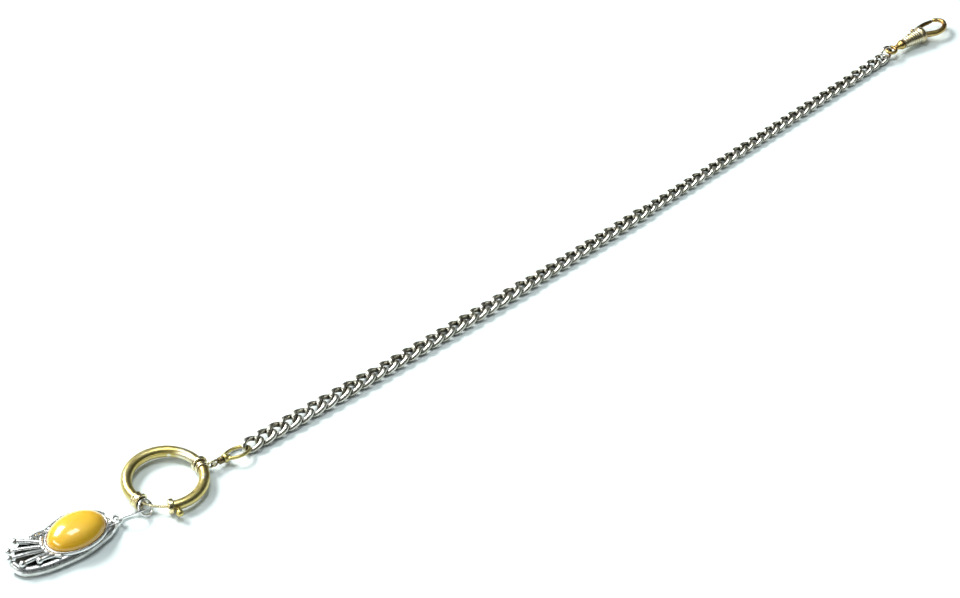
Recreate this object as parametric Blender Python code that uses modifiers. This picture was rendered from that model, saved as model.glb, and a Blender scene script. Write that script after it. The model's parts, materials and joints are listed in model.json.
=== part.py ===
"""A pocket watch chain laid out straight on a table.

From -X to +X: a cast silver fob with an oval yellow cabochon, two jump rings, a spring bolt
ring, a swivel with an oval ring, a graduated curb chain, a jump ring and a swivel clip.
Every piece hangs from one empty, in a frame whose origin is on the table under the middle of
the bolt ring; at the end the empty is moved so that the world's origin is under the middle of
the whole object. Lengths are in metres and angles in degrees unless a name says otherwise.
"""

import math

import bmesh
import bpy
from mathutils import Matrix, Vector

MM = 0.001

# Bolt ring: a hollow ring that lies flat, in two lengths of tube with a gap for the bolt.
RING_RADIUS = 8.75 * MM
RING_HEIGHT = 2.05 * MM
MAIN_TUBE_ARC = (-8.5, 182.2)
MAIN_TUBE_RADII = (1.2 * MM, 1.35 * MM)
BOLT_TUBE_ARC = (-122.0, -12.0)
BOLT_TUBE_RADII = (1.18 * MM, 1.28 * MM)
TUBE_WALL = 0.32 * MM
SLOT_ARC = (-117.5, -72.0)
SLOT_HALF_WIDTH = 0.42 * MM
SOCKET_ANGLE = 186.5
SOCKET_RIM = 2.0 * MM
MOUTH_ANGLE = -121.5
MOUTH_RADIUS = 1.75 * MM
FLANGE_ANGLE = -9.5
FLANGE_RADIUS = 1.95 * MM
LOOP_COLLAR_ANGLE = -18.4
LOOP_COLLAR_RADIUS = 1.6 * MM
FIT_GAP = 0.08 * MM

# The bolt, its knob and the spring and plug behind it, inside the bolt tube.
BOLT_RADIUS = 0.32 * MM
BOLT_ARC = (185.5, 252.0)
KNOB_ANGLE = -113.2
KNOB_REACH = 11.35 * MM
KNOB_RADIUS = 0.85 * MM
SPRING_ARC = (-106.5, -39.0)
SPRING_RADIUS = 0.55 * MM
SPRING_WIRE = 0.1 * MM
SPRING_TURNS = 12
PLUG_ARC = (-37.5, -28.0)

# Swivel: a barrel whose eye hangs in the loop collar's eye, and an oval ring that spins on it.
COLLAR_EYE_REACH = 11.05 * MM
EYE_WIRE = 0.24 * MM
EYE_RADIUS = 0.82 * MM
SWIVEL_START = Vector((10.5, -3.5, 1.95)) * MM
SWIVEL_HEADING = -4.0
SWIVEL_DIP = 4.0
SWIVEL_RING_LEAN = -20.0
BARREL_EYE_OFFSET = 0.9 * MM
BARREL_START = 1.75 * MM
BARREL_END = 3.15 * MM
BARREL_RADIUS = 0.85 * MM
BOSS_START = 3.25 * MM
BOSS_LENGTH = 1.3 * MM
BOSS_RADIUS = 1.12 * MM
PIN_RADIUS = 0.3 * MM
PIN_HEAD_RADIUS = 0.52 * MM
OVAL_HALF_LENGTH = 3.1 * MM
OVAL_HALF_WIDTH = 2.3 * MM
OVAL_WIRE = 0.42 * MM

# Curb chain: twisted oval links in four sizes, each size as its share of the largest link.
LINK_PITCH = 3.768 * MM
LINK_WIRE = 1.06 * MM
LINK_WIDTH = 3.9 * MM
LINK_SQUARENESS = 2.5
LINK_HALF_TWIST = -45.0
LINK_STEPS = 10
LINK_PRESS = 0.12
JOINT_SLACK = 0.31 * MM
LINKS_JOINED = 2
CHAIN_SIZES = ((1.0, 5), (0.958, 7), (0.88, 6), (0.778, 15))
CHAIN_START = Vector((20.15, -4.17, 0.0)) * MM
CHAIN_START_ROLLS = (20, 16, 12, 8, 5, 2)
CHAIN_END_ROLLS = (10, 20)
CHAIN_MEAN_HEADING = -0.95
CHAIN_HEADING_SWING = 1.7
CHAIN_WAVES = 0.625

# Jump rings: centreline radius and wire radius.
UPPER_JUMP_RADIUS = 1.75 * MM
UPPER_JUMP_ANGLE = 205.0
UPPER_JUMP_HEADING = 14.0
LOWER_JUMP_HALF_LENGTH = 3.16 * MM
LOWER_JUMP_HALF_WIDTH = 1.7 * MM
JUMP_WIRE = 0.3 * MM
END_RING_RADIUS = 1.72 * MM
END_RING_WIRE = 0.38 * MM
END_RING_LEAN = 12.0
END_RING_REACH = 0.45 * MM

# Fob. Its own frame has the eye at the origin, the tip towards -X and the bar at -Y.
FOB_HEADING = -4.0
FOB_EYE = Vector((-15.8, -2.2, 1.7)) * MM
FOB_EYE_RADIUS = 1.0 * MM
FOB_EYE_WIRE = 0.34 * MM
STONE_CENTRE = Vector((-9.95, 1.07, 0.0)) * MM
STONE_TURN = 2.0
STONE_HALF_LENGTH = 7.3 * MM
STONE_HALF_WIDTH = 5.1 * MM
STONE_BASE = 2.85 * MM
STONE_RISE = 3.6 * MM
BEZEL_WALL = 0.35 * MM
BEZEL_BOTTOM = 2.6 * MM
BEZEL_TOP = 3.4 * MM
PLATE_HEIGHT = 2.5 * MM
BAR_RADIUS = 1.25 * MM
RAIL_RADIUS = 0.8 * MM
RAIL_OVAL = (8.5 * MM, 6.35 * MM)
PAVE_STONE_RADIUS = 0.55 * MM
PAVE_STONES = 20
ROD_RADIUS = 0.44 * MM

# Swivel clip. Its own frame has the swivel eye at the origin, the hook towards +X.
CLIP_HEIGHT = 2.15 * MM
CLIP_HEADING = -5.0
CLIP_EYE_RADIUS = 1.15 * MM
CLIP_EYE_WIRE = 0.42 * MM
BODY_START = 3.95 * MM
BODY_RIBBED_LENGTH = 5.1 * MM
BODY_RADII = (1.25 * MM, 1.85 * MM)
BODY_RIBS = 8
RIB_DEPTH = 0.14 * MM
BULGE_RADIUS = 2.1 * MM
BULGE_LENGTH = 2.0 * MM
HOOK_RADIUS = 0.72 * MM
LEVER_RADIUS = 0.55 * MM
LEVER_PIVOT = Vector((6.3, 0.75, 0.0)) * MM
LEVER_PIN_RADIUS = 0.3 * MM
LEVER_HALF_HEIGHT = 0.55 * MM
LEVER_SLOT_HALF_HEIGHT = 0.68 * MM

# Each finish: colour, roughness and metallic value.
FINISHES = {
    "chain_nickel": ((0.62, 0.60, 0.52), 0.28, 1.0),
    "worn_gilt": ((0.80, 0.68, 0.36), 0.26, 1.0),
    "fob_silver": ((0.86, 0.86, 0.85), 0.14, 1.0),
    "pave_crystal": ((0.85, 0.88, 0.90), 0.08, 0.0),
    "amber_cabochon": ((0.90, 0.55, 0.04), 0.12, 0.0),
    "brass_clip": ((0.72, 0.52, 0.22), 0.30, 1.0),
    "spring_steel": ((0.45, 0.45, 0.46), 0.35, 1.0),
}


# Scene and placing


def start_scene():
    """Empty the scene and give back the parts' collection and the cutters' one."""
    for old in list(bpy.data.objects):
        bpy.data.objects.remove(old, do_unlink=True)
    made = []
    for name in ("pocket_watch_chain", "cutters"):
        collection = bpy.data.collections.new(name)
        bpy.context.scene.collection.children.link(collection)
        made.append(collection)
    return made


def make_finish(name):
    colour, roughness, metallic = FINISHES[name]
    finish = bpy.data.materials.new(name)
    finish.use_nodes = True
    shader = finish.node_tree.nodes["Principled BSDF"]
    shader.inputs["Base Color"].default_value = (*colour, 1.0)
    shader.inputs["Roughness"].default_value = roughness
    shader.inputs["Metallic"].default_value = metallic
    return finish


def shift(x=0.0, y=0.0, z=0.0):
    return Matrix.Translation((x, y, z))


def turn(angle, axis):
    return Matrix.Rotation(math.radians(angle), 4, axis)


def on_ring(angle):
    """A frame on the bolt ring's centreline: X outward, Y along the tube, Z up."""
    return shift(z=RING_HEIGHT) @ turn(angle, "Z") @ shift(x=RING_RADIUS)


def along_tube(angle):
    """The same place with Z along the tube, for turned collars."""
    return on_ring(angle) @ turn(-90, "X")


def along_x():
    """Turns Z, a turned piece's axis, to +X."""
    return turn(90, "Y")


def pivot(name, matrix, parent):
    """An empty on a joint's axis, which carries the pieces of one moving body."""
    empty = bpy.data.objects.new(name, None)
    empty.empty_display_size = 2 * MM
    PARTS.objects.link(empty)
    empty.parent = parent
    empty.matrix_local = matrix
    return empty


def place(thing, parent, matrix, finish):
    PARTS.objects.link(thing)
    thing.parent = parent
    thing.matrix_local = matrix
    if not thing.data.materials:
        thing.data.materials.append(MATERIALS[finish])
    return thing


def smooth(mesh, sharp_angle=35):
    mesh.shade_smooth()
    mesh.set_sharp_from_angle(angle=math.radians(sharp_angle))


# Shapes


def ring_points(radius, steps=20, half_width=None):
    """A circle about Z, or an oval that is half_width from side to side."""
    across = radius if half_width is None else half_width
    angles = [2 * math.pi * (i + 0.5) / steps for i in range(steps)]
    return [Vector((radius * math.cos(a), across * math.sin(a), 0)) for a in angles]


def arc_points(start, end, steps, radius=RING_RADIUS):
    """Points of an arc about the bolt ring's middle, in the ring's plane."""
    angles = [math.radians(start + (end - start) * i / steps) for i in range(steps + 1)]
    return [Vector((radius * math.cos(a), radius * math.sin(a), RING_HEIGHT)) for a in angles]


def smooth_path(knots, steps):
    """A Catmull-Rom curve through the knots, with its ends carried straight on."""
    points = [Vector(k) for k in knots]
    padded = [2 * points[0] - points[1]] + points + [2 * points[-1] - points[-2]]
    path = []
    for i in range(len(points) - 1):
        a, b, c, d = padded[i : i + 4]
        for step in range(steps):
            t = step / steps
            path.append(
                0.5 * (2 * b + (c - a) * t + (2 * a - 5 * b + 4 * c - d) * t**2
                       + (3 * b - a - 3 * c + d) * t**3)
            )
    path.append(points[-1])
    return path


def wire_curve(name, points, radius, closed=False, resolution=2, radii=None, caps=True):
    """A round wire along the points; radii are shares of its radius, one to a point."""
    curve = bpy.data.curves.new(name, "CURVE")
    curve.dimensions = "3D"
    curve.bevel_depth = radius
    curve.bevel_resolution = resolution
    curve.use_fill_caps = caps and not closed
    spline = curve.splines.new("POLY")
    spline.points.add(len(points) - 1)
    for i, point in enumerate(points):
        spline.points[i].co = (*point, 1.0)
        spline.points[i].radius = radii[i] if radii else 1.0
    spline.use_cyclic_u = closed
    return bpy.data.objects.new(name, curve)


def meshed(curve_object):
    """The curve as a welded mesh object, for pieces that are cut, joined or hollowed."""
    name = curve_object.name
    bpy.context.scene.collection.objects.link(curve_object)
    view = bpy.context.evaluated_depsgraph_get()
    mesh = bpy.data.meshes.new_from_object(curve_object.evaluated_get(view))
    curve = curve_object.data
    bpy.data.objects.remove(curve_object)
    bpy.data.curves.remove(curve)
    shape = bmesh.new()
    shape.from_mesh(mesh)
    bmesh.ops.remove_doubles(shape, verts=shape.verts, dist=0.001 * MM)
    shape.to_mesh(mesh)
    shape.free()
    smooth(mesh)
    mesh.name = name
    return bpy.data.objects.new(name, mesh)


def wire_mesh(name, points, radius, **options):
    return meshed(wire_curve(name, points, radius, **options))


def turned(name, profile, steps=20, closed=False):
    """Turns (radius, height) points about Z; they run down the outside, top to bottom."""
    mesh = bpy.data.meshes.new(name)
    edges = [(i, i + 1) for i in range(len(profile) - 1)]
    if closed:
        edges.append((len(profile) - 1, 0))
    mesh.from_pydata([(r, 0, z) for r, z in profile], edges, [])
    piece = bpy.data.objects.new(name, mesh)
    screw = piece.modifiers.new("turn", "SCREW")
    screw.steps = steps
    screw.render_steps = steps
    screw.use_merge_vertices = True
    screw.merge_threshold = 0.001 * MM
    screw.use_smooth_shade = True
    return piece


def collar(name, outline, bore, steps=20):
    """A turned band: (radius, height) points of its outside, and its bore's radius."""
    inside = [(bore, outline[-1][1]), (bore, outline[0][1])]
    return turned(name, outline + inside, steps, closed=True)


def ball(name, radius, segments=10, rings=7):
    mesh = bpy.data.meshes.new(name)
    shape = bmesh.new()
    bmesh.ops.create_uvsphere(shape, u_segments=segments, v_segments=rings, radius=radius)
    shape.to_mesh(mesh)
    shape.free()
    smooth(mesh, 60)
    return bpy.data.objects.new(name, mesh)


def cylinder(name, radius, length, segments=16):
    """A rod about Z, with its middle at the origin."""
    mesh = bpy.data.meshes.new(name)
    shape = bmesh.new()
    bmesh.ops.create_cone(
        shape, cap_ends=True, segments=segments, radius1=radius, radius2=radius, depth=length
    )
    shape.to_mesh(mesh)
    shape.free()
    smooth(mesh)
    return bpy.data.objects.new(name, mesh)


def box(name, low, high):
    """A box between two corners."""
    mesh = bpy.data.meshes.new(name)
    shape = bmesh.new()
    size = Vector(high) - Vector(low)
    middle = (Vector(high) + Vector(low)) / 2
    bmesh.ops.create_cube(shape, size=1.0, matrix=Matrix.Translation(middle) @ Matrix.Diagonal((*size, 1)))
    shape.to_mesh(mesh)
    shape.free()
    return bpy.data.objects.new(name, mesh)


def combine(piece, other, matrix=None, operation="UNION"):
    """Joins another shape to a piece, or cuts it away; the matrix places it in the piece's frame."""
    other.name = piece.name + "_" + operation.lower() + "_" + str(len(piece.modifiers))
    CUTTERS.objects.link(other)
    other.parent = piece
    if matrix is not None:
        other.matrix_local = matrix
    other.hide_render = True
    other.display_type = "WIRE"
    boolean = piece.modifiers.new(other.name, "BOOLEAN")
    boolean.operation = operation
    boolean.solver = "EXACT"
    boolean.object = other
    return piece


def solidified(name, points, radius, wall, **options):
    """A hollow tube with open ends: its skin is made first and thickened inwards."""
    tube = wire_mesh(name, points, radius, caps=False, **options)
    shell = tube.modifiers.new("wall", "SOLIDIFY")
    shell.thickness = wall
    shell.offset = -1
    return tube


# Bolt ring


def swell(count, ends, middle):
    """Radii as shares of the middle's, which ease from each end to the middle."""
    return [
        (ends + (middle - ends) * math.sin(math.pi * i / (count - 1)) ** 0.7) / middle
        for i in range(count)
    ]


def make_ring_tubes(parent):
    points = arc_points(*MAIN_TUBE_ARC, 20)
    radii = swell(len(points), *MAIN_TUBE_RADII)
    tube = solidified("ring_tube", points, MAIN_TUBE_RADII[1], TUBE_WALL, resolution=2, radii=radii)
    place(tube, parent, Matrix(), "worn_gilt")
    points = arc_points(*BOLT_TUBE_ARC, 12)
    radii = swell(len(points), *BOLT_TUBE_RADII)
    tube = solidified(
        "bolt_tube", points, BOLT_TUBE_RADII[1], TUBE_WALL, resolution=2, radii=radii
    )
    place(tube, parent, Matrix(), "worn_gilt")
    combine(tube, slot_cutter(), operation="DIFFERENCE")


def slot_cutter():
    """A bent bar of square section along the outer side of the bolt tube."""
    mesh = bpy.data.meshes.new("slot")
    shape = bmesh.new()
    inner = RING_RADIUS + 0.3 * MM
    outer = RING_RADIUS + 2.0 * MM
    corners = [
        (inner, -SLOT_HALF_WIDTH), (outer, -SLOT_HALF_WIDTH),
        (outer, SLOT_HALF_WIDTH), (inner, SLOT_HALF_WIDTH),
    ]
    verts = [shape.verts.new((r, 0, RING_HEIGHT + z)) for r, z in corners]
    face = shape.faces.new(verts)
    bmesh.ops.rotate(
        shape, verts=verts, matrix=Matrix.Rotation(math.radians(SLOT_ARC[0]), 3, "Z")
    )
    swept = bmesh.ops.spin(
        shape, geom=[face] + list(face.edges) + verts, axis=(0, 0, 1), cent=(0, 0, 0),
        angle=math.radians(SLOT_ARC[1] - SLOT_ARC[0]), steps=8, use_duplicate=False,
    )
    bmesh.ops.recalc_face_normals(shape, faces=shape.faces)
    shape.to_mesh(mesh)
    shape.free()
    return bpy.data.objects.new("slot", mesh)


def make_ring_collars(parent):
    """The socket's flared mouth points along the tube, towards the gap."""
    tube_end = MAIN_TUBE_RADII[0]
    half = 1.1 * MM
    rim = SOCKET_RIM
    socket = turned("bolt_socket", [
        (rim - 0.2 * MM, half), (rim, half - 0.15 * MM), (rim, half - 0.45 * MM),
        (1.7 * MM, -0.15 * MM), (1.6 * MM, -half),
        (tube_end + 2 * FIT_GAP, -half), (tube_end + 2 * FIT_GAP, -0.45 * MM),
        (BOLT_RADIUS + FIT_GAP, -0.45 * MM), (BOLT_RADIUS + FIT_GAP, -0.1 * MM),
        (0.95 * MM, -0.1 * MM), (1.45 * MM, half),
    ], 20, closed=True)
    place(socket, parent, along_tube(SOCKET_ANGLE), "worn_gilt")
    bore = BOLT_TUBE_RADII[0] + 1.5 * FIT_GAP
    mouth = collar("mouth_collar", [
        (MOUTH_RADIUS - 0.12 * MM, 0.6 * MM), (MOUTH_RADIUS, 0.48 * MM),
        (MOUTH_RADIUS, -0.48 * MM), (MOUTH_RADIUS - 0.12 * MM, -0.6 * MM),
    ], bore)
    place(mouth, parent, along_tube(MOUTH_ANGLE), "worn_gilt")
    flange = collar("flange_collar", [
        (FLANGE_RADIUS - 0.15 * MM, 0.55 * MM), (FLANGE_RADIUS, 0.4 * MM),
        (FLANGE_RADIUS, -0.3 * MM), (FLANGE_RADIUS - 0.1 * MM, -0.42 * MM),
    ], MAIN_TUBE_RADII[0] + 1.5 * FIT_GAP)
    place(flange, parent, along_tube(FLANGE_ANGLE), "worn_gilt")
    band = collar("loop_collar", [
        (LOOP_COLLAR_RADIUS - 0.1 * MM, 0.62 * MM), (LOOP_COLLAR_RADIUS, 0.5 * MM),
        (LOOP_COLLAR_RADIUS, -0.5 * MM), (LOOP_COLLAR_RADIUS - 0.1 * MM, -0.62 * MM),
    ], bore)
    place(band, parent, along_tube(LOOP_COLLAR_ANGLE), "worn_gilt")
    eye = wire_mesh("eye", ring_points(EYE_RADIUS, 12), EYE_WIRE, closed=True, resolution=1)
    reach = COLLAR_EYE_REACH - RING_RADIUS
    combine(band, eye, shift(x=reach) @ turn(90, "X") @ turn(90, "X"))


def make_bolt(parent):
    """The bolt turns about the ring's middle, so its empty stands there."""
    middle = pivot("bolt_pivot", Matrix(), parent)
    points = arc_points(*BOLT_ARC, 14)
    rod = wire_curve("ring_bolt", points, BOLT_RADIUS, resolution=2)
    place(rod, middle, Matrix(), "worn_gilt")
    foot = BOLT_RADIUS + 0.04 * MM
    reach = KNOB_REACH - RING_RADIUS
    stem = [
        (KNOB_RADIUS * 0.45, reach), (0.3 * MM, reach - 0.45 * MM), (0.3 * MM, foot),
    ]
    knob = turned("bolt_knob", [(0, reach)] + stem + [(0, foot)], 12)
    place(knob, middle, on_ring(KNOB_ANGLE) @ along_x(), "worn_gilt")
    combine(knob, ball("knob_ball", KNOB_RADIUS, 12, 8), shift(z=reach))


def make_spring(parent):
    """A fine coil in the bolt tube, bent with it, and the plug that it pushes on."""
    steps = SPRING_TURNS * 7
    points = []
    for i in range(steps + 1):
        share = i / steps
        phase = 2 * math.pi * SPRING_TURNS * share
        angle = SPRING_ARC[0] + (SPRING_ARC[1] - SPRING_ARC[0]) * share
        coil = Vector((SPRING_RADIUS * math.cos(phase), 0, SPRING_RADIUS * math.sin(phase)))
        points.append(on_ring(angle) @ coil)
    spring = wire_curve("bolt_spring", points, SPRING_WIRE, resolution=0)
    place(spring, parent, Matrix(), "spring_steel")
    plug = wire_curve("spring_plug", arc_points(*PLUG_ARC, 4), 0.75 * MM, resolution=2)
    place(plug, parent, Matrix(), "spring_steel")


# Swivel


def make_swivel(parent):
    """Gives back the oval ring, which carries the chain."""
    frame = Matrix.Translation(SWIVEL_START) @ turn(SWIVEL_HEADING, "Z") @ turn(SWIVEL_DIP, "Y")
    hinge = pivot("swivel_pivot", frame, parent)
    barrel_length = BARREL_END - BARREL_START
    pin_end = BOSS_LENGTH + 0.55 * MM
    barrel = turned("swivel_barrel", [
        (0, pin_end + 0.1 * MM), (PIN_HEAD_RADIUS, pin_end), (PIN_HEAD_RADIUS, BOSS_LENGTH + 0.2 * MM),
        (PIN_RADIUS, BOSS_LENGTH + 0.2 * MM), (PIN_RADIUS, 0),
        (BARREL_RADIUS - 0.15 * MM, 0), (BARREL_RADIUS, -0.15 * MM),
        (BARREL_RADIUS, -barrel_length + 0.3 * MM), (0.4 * MM, -barrel_length),
        (0, -barrel_length),
    ], 14)
    place(barrel, hinge, shift(x=BARREL_END) @ along_x(), "worn_gilt")
    eye = wire_mesh("eye", ring_points(EYE_RADIUS, 12), EYE_WIRE, closed=True, resolution=1)
    combine(barrel, eye, turn(-90, "Y") @ shift(x=BARREL_EYE_OFFSET - BARREL_END))

    start = shift(x=BOSS_START)
    spin = pivot("oval_ring_pivot", start, hinge)
    oval = wire_mesh(
        "swivel_ring", ring_points(OVAL_HALF_LENGTH, 20, OVAL_HALF_WIDTH), OVAL_WIRE, closed=True,
        resolution=1,
    )
    reach = OVAL_HALF_LENGTH + BOSS_LENGTH * 0.62
    place(oval, spin, shift(x=reach) @ turn(SWIVEL_RING_LEAN, "X"), "worn_gilt")
    boss = turned("boss", [
        (0, BOSS_LENGTH), (BOSS_RADIUS * 0.8, BOSS_LENGTH), (BOSS_RADIUS, BOSS_LENGTH * 0.6),
        (BOSS_RADIUS, BOSS_LENGTH * 0.35), (BOSS_RADIUS * 0.85, 0), (0, 0),
    ], 16)
    combine(oval, boss, shift(x=-reach) @ along_x())
    bore = cylinder("bore", PIN_RADIUS + FIT_GAP, 6 * MM, 12)
    combine(oval, bore, shift(x=-reach) @ along_x(), "DIFFERENCE")
    room = cylinder("head_room", PIN_HEAD_RADIUS + 2 * FIT_GAP, 1.2 * MM, 12)
    combine(oval, room, shift(x=BOSS_LENGTH + 0.7 * MM - reach) @ along_x(), "DIFFERENCE")
    return spin


# Curb chain


def link_points(size):
    """One link's centreline: an oval in a plane that turns about X from end to end."""
    half_length = size * (LINK_PITCH + LINK_WIRE * (1 - LINK_PRESS)) / 2
    half_width = size * (LINK_WIDTH - LINK_WIRE) / 2
    points = []
    for i in range(LINK_STEPS):
        angle = 2 * math.pi * (i + 0.5) / LINK_STEPS
        power = 2 / LINK_SQUARENESS
        x = half_length * math.copysign(abs(math.cos(angle)) ** power, math.cos(angle))
        across = half_width * math.copysign(abs(math.sin(angle)) ** power, math.sin(angle))
        twist = math.radians(LINK_HALF_TWIST) * x / half_length
        points.append(Vector((x, across * math.cos(twist), across * math.sin(twist))))
    return points


def joined_links_mesh(size):
    """Two links made fast to each other, from one joint of the chain to the next."""
    pitch = size * LINK_PITCH
    start = size * (LINK_PITCH - JOINT_SLACK) / 2
    name = "links_" + str(round(1000 * size))
    first = wire_mesh(name, link_points(size), size * LINK_WIRE / 2, closed=True, resolution=1)
    first.data.transform(shift(x=start))
    PARTS.objects.link(first)
    for i in range(1, LINKS_JOINED):
        extra = wire_mesh(
            "next_link", link_points(size), size * LINK_WIRE / 2, closed=True, resolution=1
        )
        extra.data.transform(shift(x=start + pitch * i))
        combine(first, extra)
    view = bpy.context.evaluated_depsgraph_get()
    mesh = bpy.data.meshes.new_from_object(first.evaluated_get(view))
    for used in [first, *first.children]:
        bpy.data.objects.remove(used)
    smooth(mesh, 60)
    mesh.name = name
    return mesh


def rest_height(size, roll):
    """How high a rolled link's middle is when its lowest side is on the table."""
    rolled = [turn(roll, "X") @ point for point in link_points(size)]
    return size * LINK_WIRE / 2 - min(point.z for point in rolled)


def chain_rolls():
    """How far each segment is rolled about its length; the curb's flat side is down at 0."""
    count = sum(count for _, count in CHAIN_SIZES)
    plain = count - len(CHAIN_START_ROLLS) - len(CHAIN_END_ROLLS)
    return CHAIN_START_ROLLS + (0,) * plain + CHAIN_END_ROLLS


def make_chain(parent):
    """Lays the segments end to end along a gentle double bend; gives back the last joint."""
    spot = CHAIN_START.copy()
    total = sum(size * count for size, count in CHAIN_SIZES)
    rolls = chain_rolls()
    laid = 0.0
    number = 0
    for size, count in CHAIN_SIZES:
        mesh = joined_links_mesh(size)
        mesh.materials.append(MATERIALS["chain_nickel"])
        length = size * (LINK_PITCH * LINKS_JOINED - JOINT_SLACK)
        for _ in range(count):
            roll = rolls[number]
            number += 1
            wave = math.cos(2 * math.pi * CHAIN_WAVES * (laid + size / 2) / total)
            heading = CHAIN_MEAN_HEADING - CHAIN_HEADING_SWING * wave
            spot.z = rest_height(size, roll)
            segment = bpy.data.objects.new("chain_links_" + format(number, "02d"), mesh)
            matrix = Matrix.Translation(spot) @ turn(heading, "Z") @ turn(roll, "X")
            place(segment, parent, matrix, "chain_nickel")
            spot = spot + turn(heading, "Z") @ Vector((length, 0, 0))
            laid += size
    return spot


# Fob


def make_jump_rings(parent):
    """The upper ring hangs on the bolt, the lower one in it; each leans its own way."""
    contact = on_ring(UPPER_JUMP_ANGLE).translation
    frame = Matrix.Translation(contact) @ turn(UPPER_JUMP_HEADING, "Z")
    upper_pivot = pivot("upper_jump_pivot", frame, parent)
    clear = BOLT_RADIUS + JUMP_WIRE + 0.06 * MM
    ring = wire_curve(
        "upper_jump_ring", ring_points(UPPER_JUMP_RADIUS, 20), JUMP_WIRE, closed=True, resolution=1
    )
    lean = turn(50, "X")
    place(ring, upper_pivot, shift(x=clear - UPPER_JUMP_RADIUS) @ lean, "fob_silver")
    reach = 2 * UPPER_JUMP_RADIUS - clear
    lower = shift(x=-reach + 2 * JUMP_WIRE + 0.34 * MM, y=-0.12 * MM)
    spot = (frame @ lower).translation
    heading = math.degrees(math.atan2(spot.y - FOB_EYE.y, spot.x - FOB_EYE.x))
    lower = lower @ turn(heading - UPPER_JUMP_HEADING, "Z") @ turn(-3.5, "Y")
    lower_pivot = pivot("lower_jump_pivot", lower, upper_pivot)
    ring = wire_curve(
        "lower_jump_ring", ring_points(LOWER_JUMP_HALF_LENGTH, 18, LOWER_JUMP_HALF_WIDTH),
        JUMP_WIRE, closed=True, resolution=1,
    )
    place(ring, lower_pivot, shift(x=-LOWER_JUMP_HALF_LENGTH) @ turn(-46, "X"), "fob_silver")
    return lower_pivot


def stone_frame(height):
    """The oval stone's own frame, at a height in the fob's frame."""
    return Matrix.Translation(STONE_CENTRE) @ turn(STONE_TURN, "Z") @ shift(z=height)


def oval(x_half, y_half):
    return Matrix.Diagonal((x_half, y_half, 1.0, 1.0))


def make_fob_frame(fob):
    """The casting: a gallery under the stone, the long bar, the rail, the eye and the tip."""
    plate = cylinder("fob_frame", 1.0, PLATE_HEIGHT, 28)
    plate.data.transform(oval(STONE_HALF_LENGTH - 0.4 * MM, STONE_HALF_WIDTH - 0.4 * MM))
    plate.data.transform(stone_frame(PLATE_HEIGHT / 2))
    place(plate, fob, shift(z=-FOB_EYE.z), "fob_silver")
    knots = [
        (-0.9, -1.1, 1.3), (-2.9, -1.7, 1.4), (-7.4, -2.6, 1.35), (-11.8, -3.05, 1.3),
        (-18.3, -2.4, 1.3), (-22.3, -1.3, 1.3), (-24.9, 0.3, 1.4), (-25.9, 2.3, 2.2),
    ]
    path = smooth_path([Vector(k) * MM for k in knots], 2)
    radii = [0.45, 0.6, 0.9, 1, 1, 1, 1, 1, 1, 1, 1, 0.98, 0.95, 0.92, 0.85]
    bar = wire_mesh("bar", path, BAR_RADIUS, resolution=2, radii=radii)
    combine(plate, bar)
    eye = wire_mesh("eye", ring_points(FOB_EYE_RADIUS, 14), FOB_EYE_WIRE, closed=True, resolution=1)
    combine(plate, eye, shift(z=FOB_EYE.z) @ turn(12, "X"))
    neck = smooth_path(
        [Vector(k) * MM for k in ((-0.85, 0.3, 1.3), (-3.0, 1.0, 1.25), (-5.0, 1.5, 1.2))], 2
    )
    combine(plate, wire_mesh("neck", neck, 0.55 * MM, resolution=1))
    combine(plate, wire_mesh("rail", rail_path(1.0 * MM), RAIL_RADIUS, resolution=1))


def rail_path(height):
    """The rail runs round the far side of the stone, from the neck to the rods."""
    knots = []
    for angle in range(-3, 122, 31):
        along = RAIL_OVAL[0] * math.cos(math.radians(angle))
        across = RAIL_OVAL[1] * math.sin(math.radians(angle))
        knots.append(stone_frame(height) @ Vector((along, across, 0)))
    knots += [Vector((-16.5 * MM, 6.75 * MM, height)), Vector((-18.7 * MM, 6.6 * MM, height))]
    return smooth_path(knots, 2)


def make_pave(fob):
    """A row of small stones on the rail, each touching the next."""
    path = rail_path(1.0 * MM + RAIL_RADIUS + PAVE_STONE_RADIUS + 0.05 * MM)
    spacing = PAVE_STONE_RADIUS * 1.75
    spots = [path[1]]
    for point in path[2:]:
        while (point - spots[-1]).length > spacing:
            spots.append(spots[-1] + (point - spots[-1]).normalized() * spacing)
    spots = spots[:PAVE_STONES]
    row = ball("pave_stones", PAVE_STONE_RADIUS, 6, 5)
    row.data.transform(Matrix.Translation(spots[0]))
    place(row, fob, shift(z=-FOB_EYE.z), "pave_crystal")
    for spot in spots[1:]:
        combine(row, ball("stone", PAVE_STONE_RADIUS, 6, 5), Matrix.Translation(spot))
    seat = [spot - Vector((0, 0, 0.15 * MM)) for spot in spots]
    combine(row, wire_mesh("seat", seat, 0.3 * MM, resolution=0))


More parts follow.
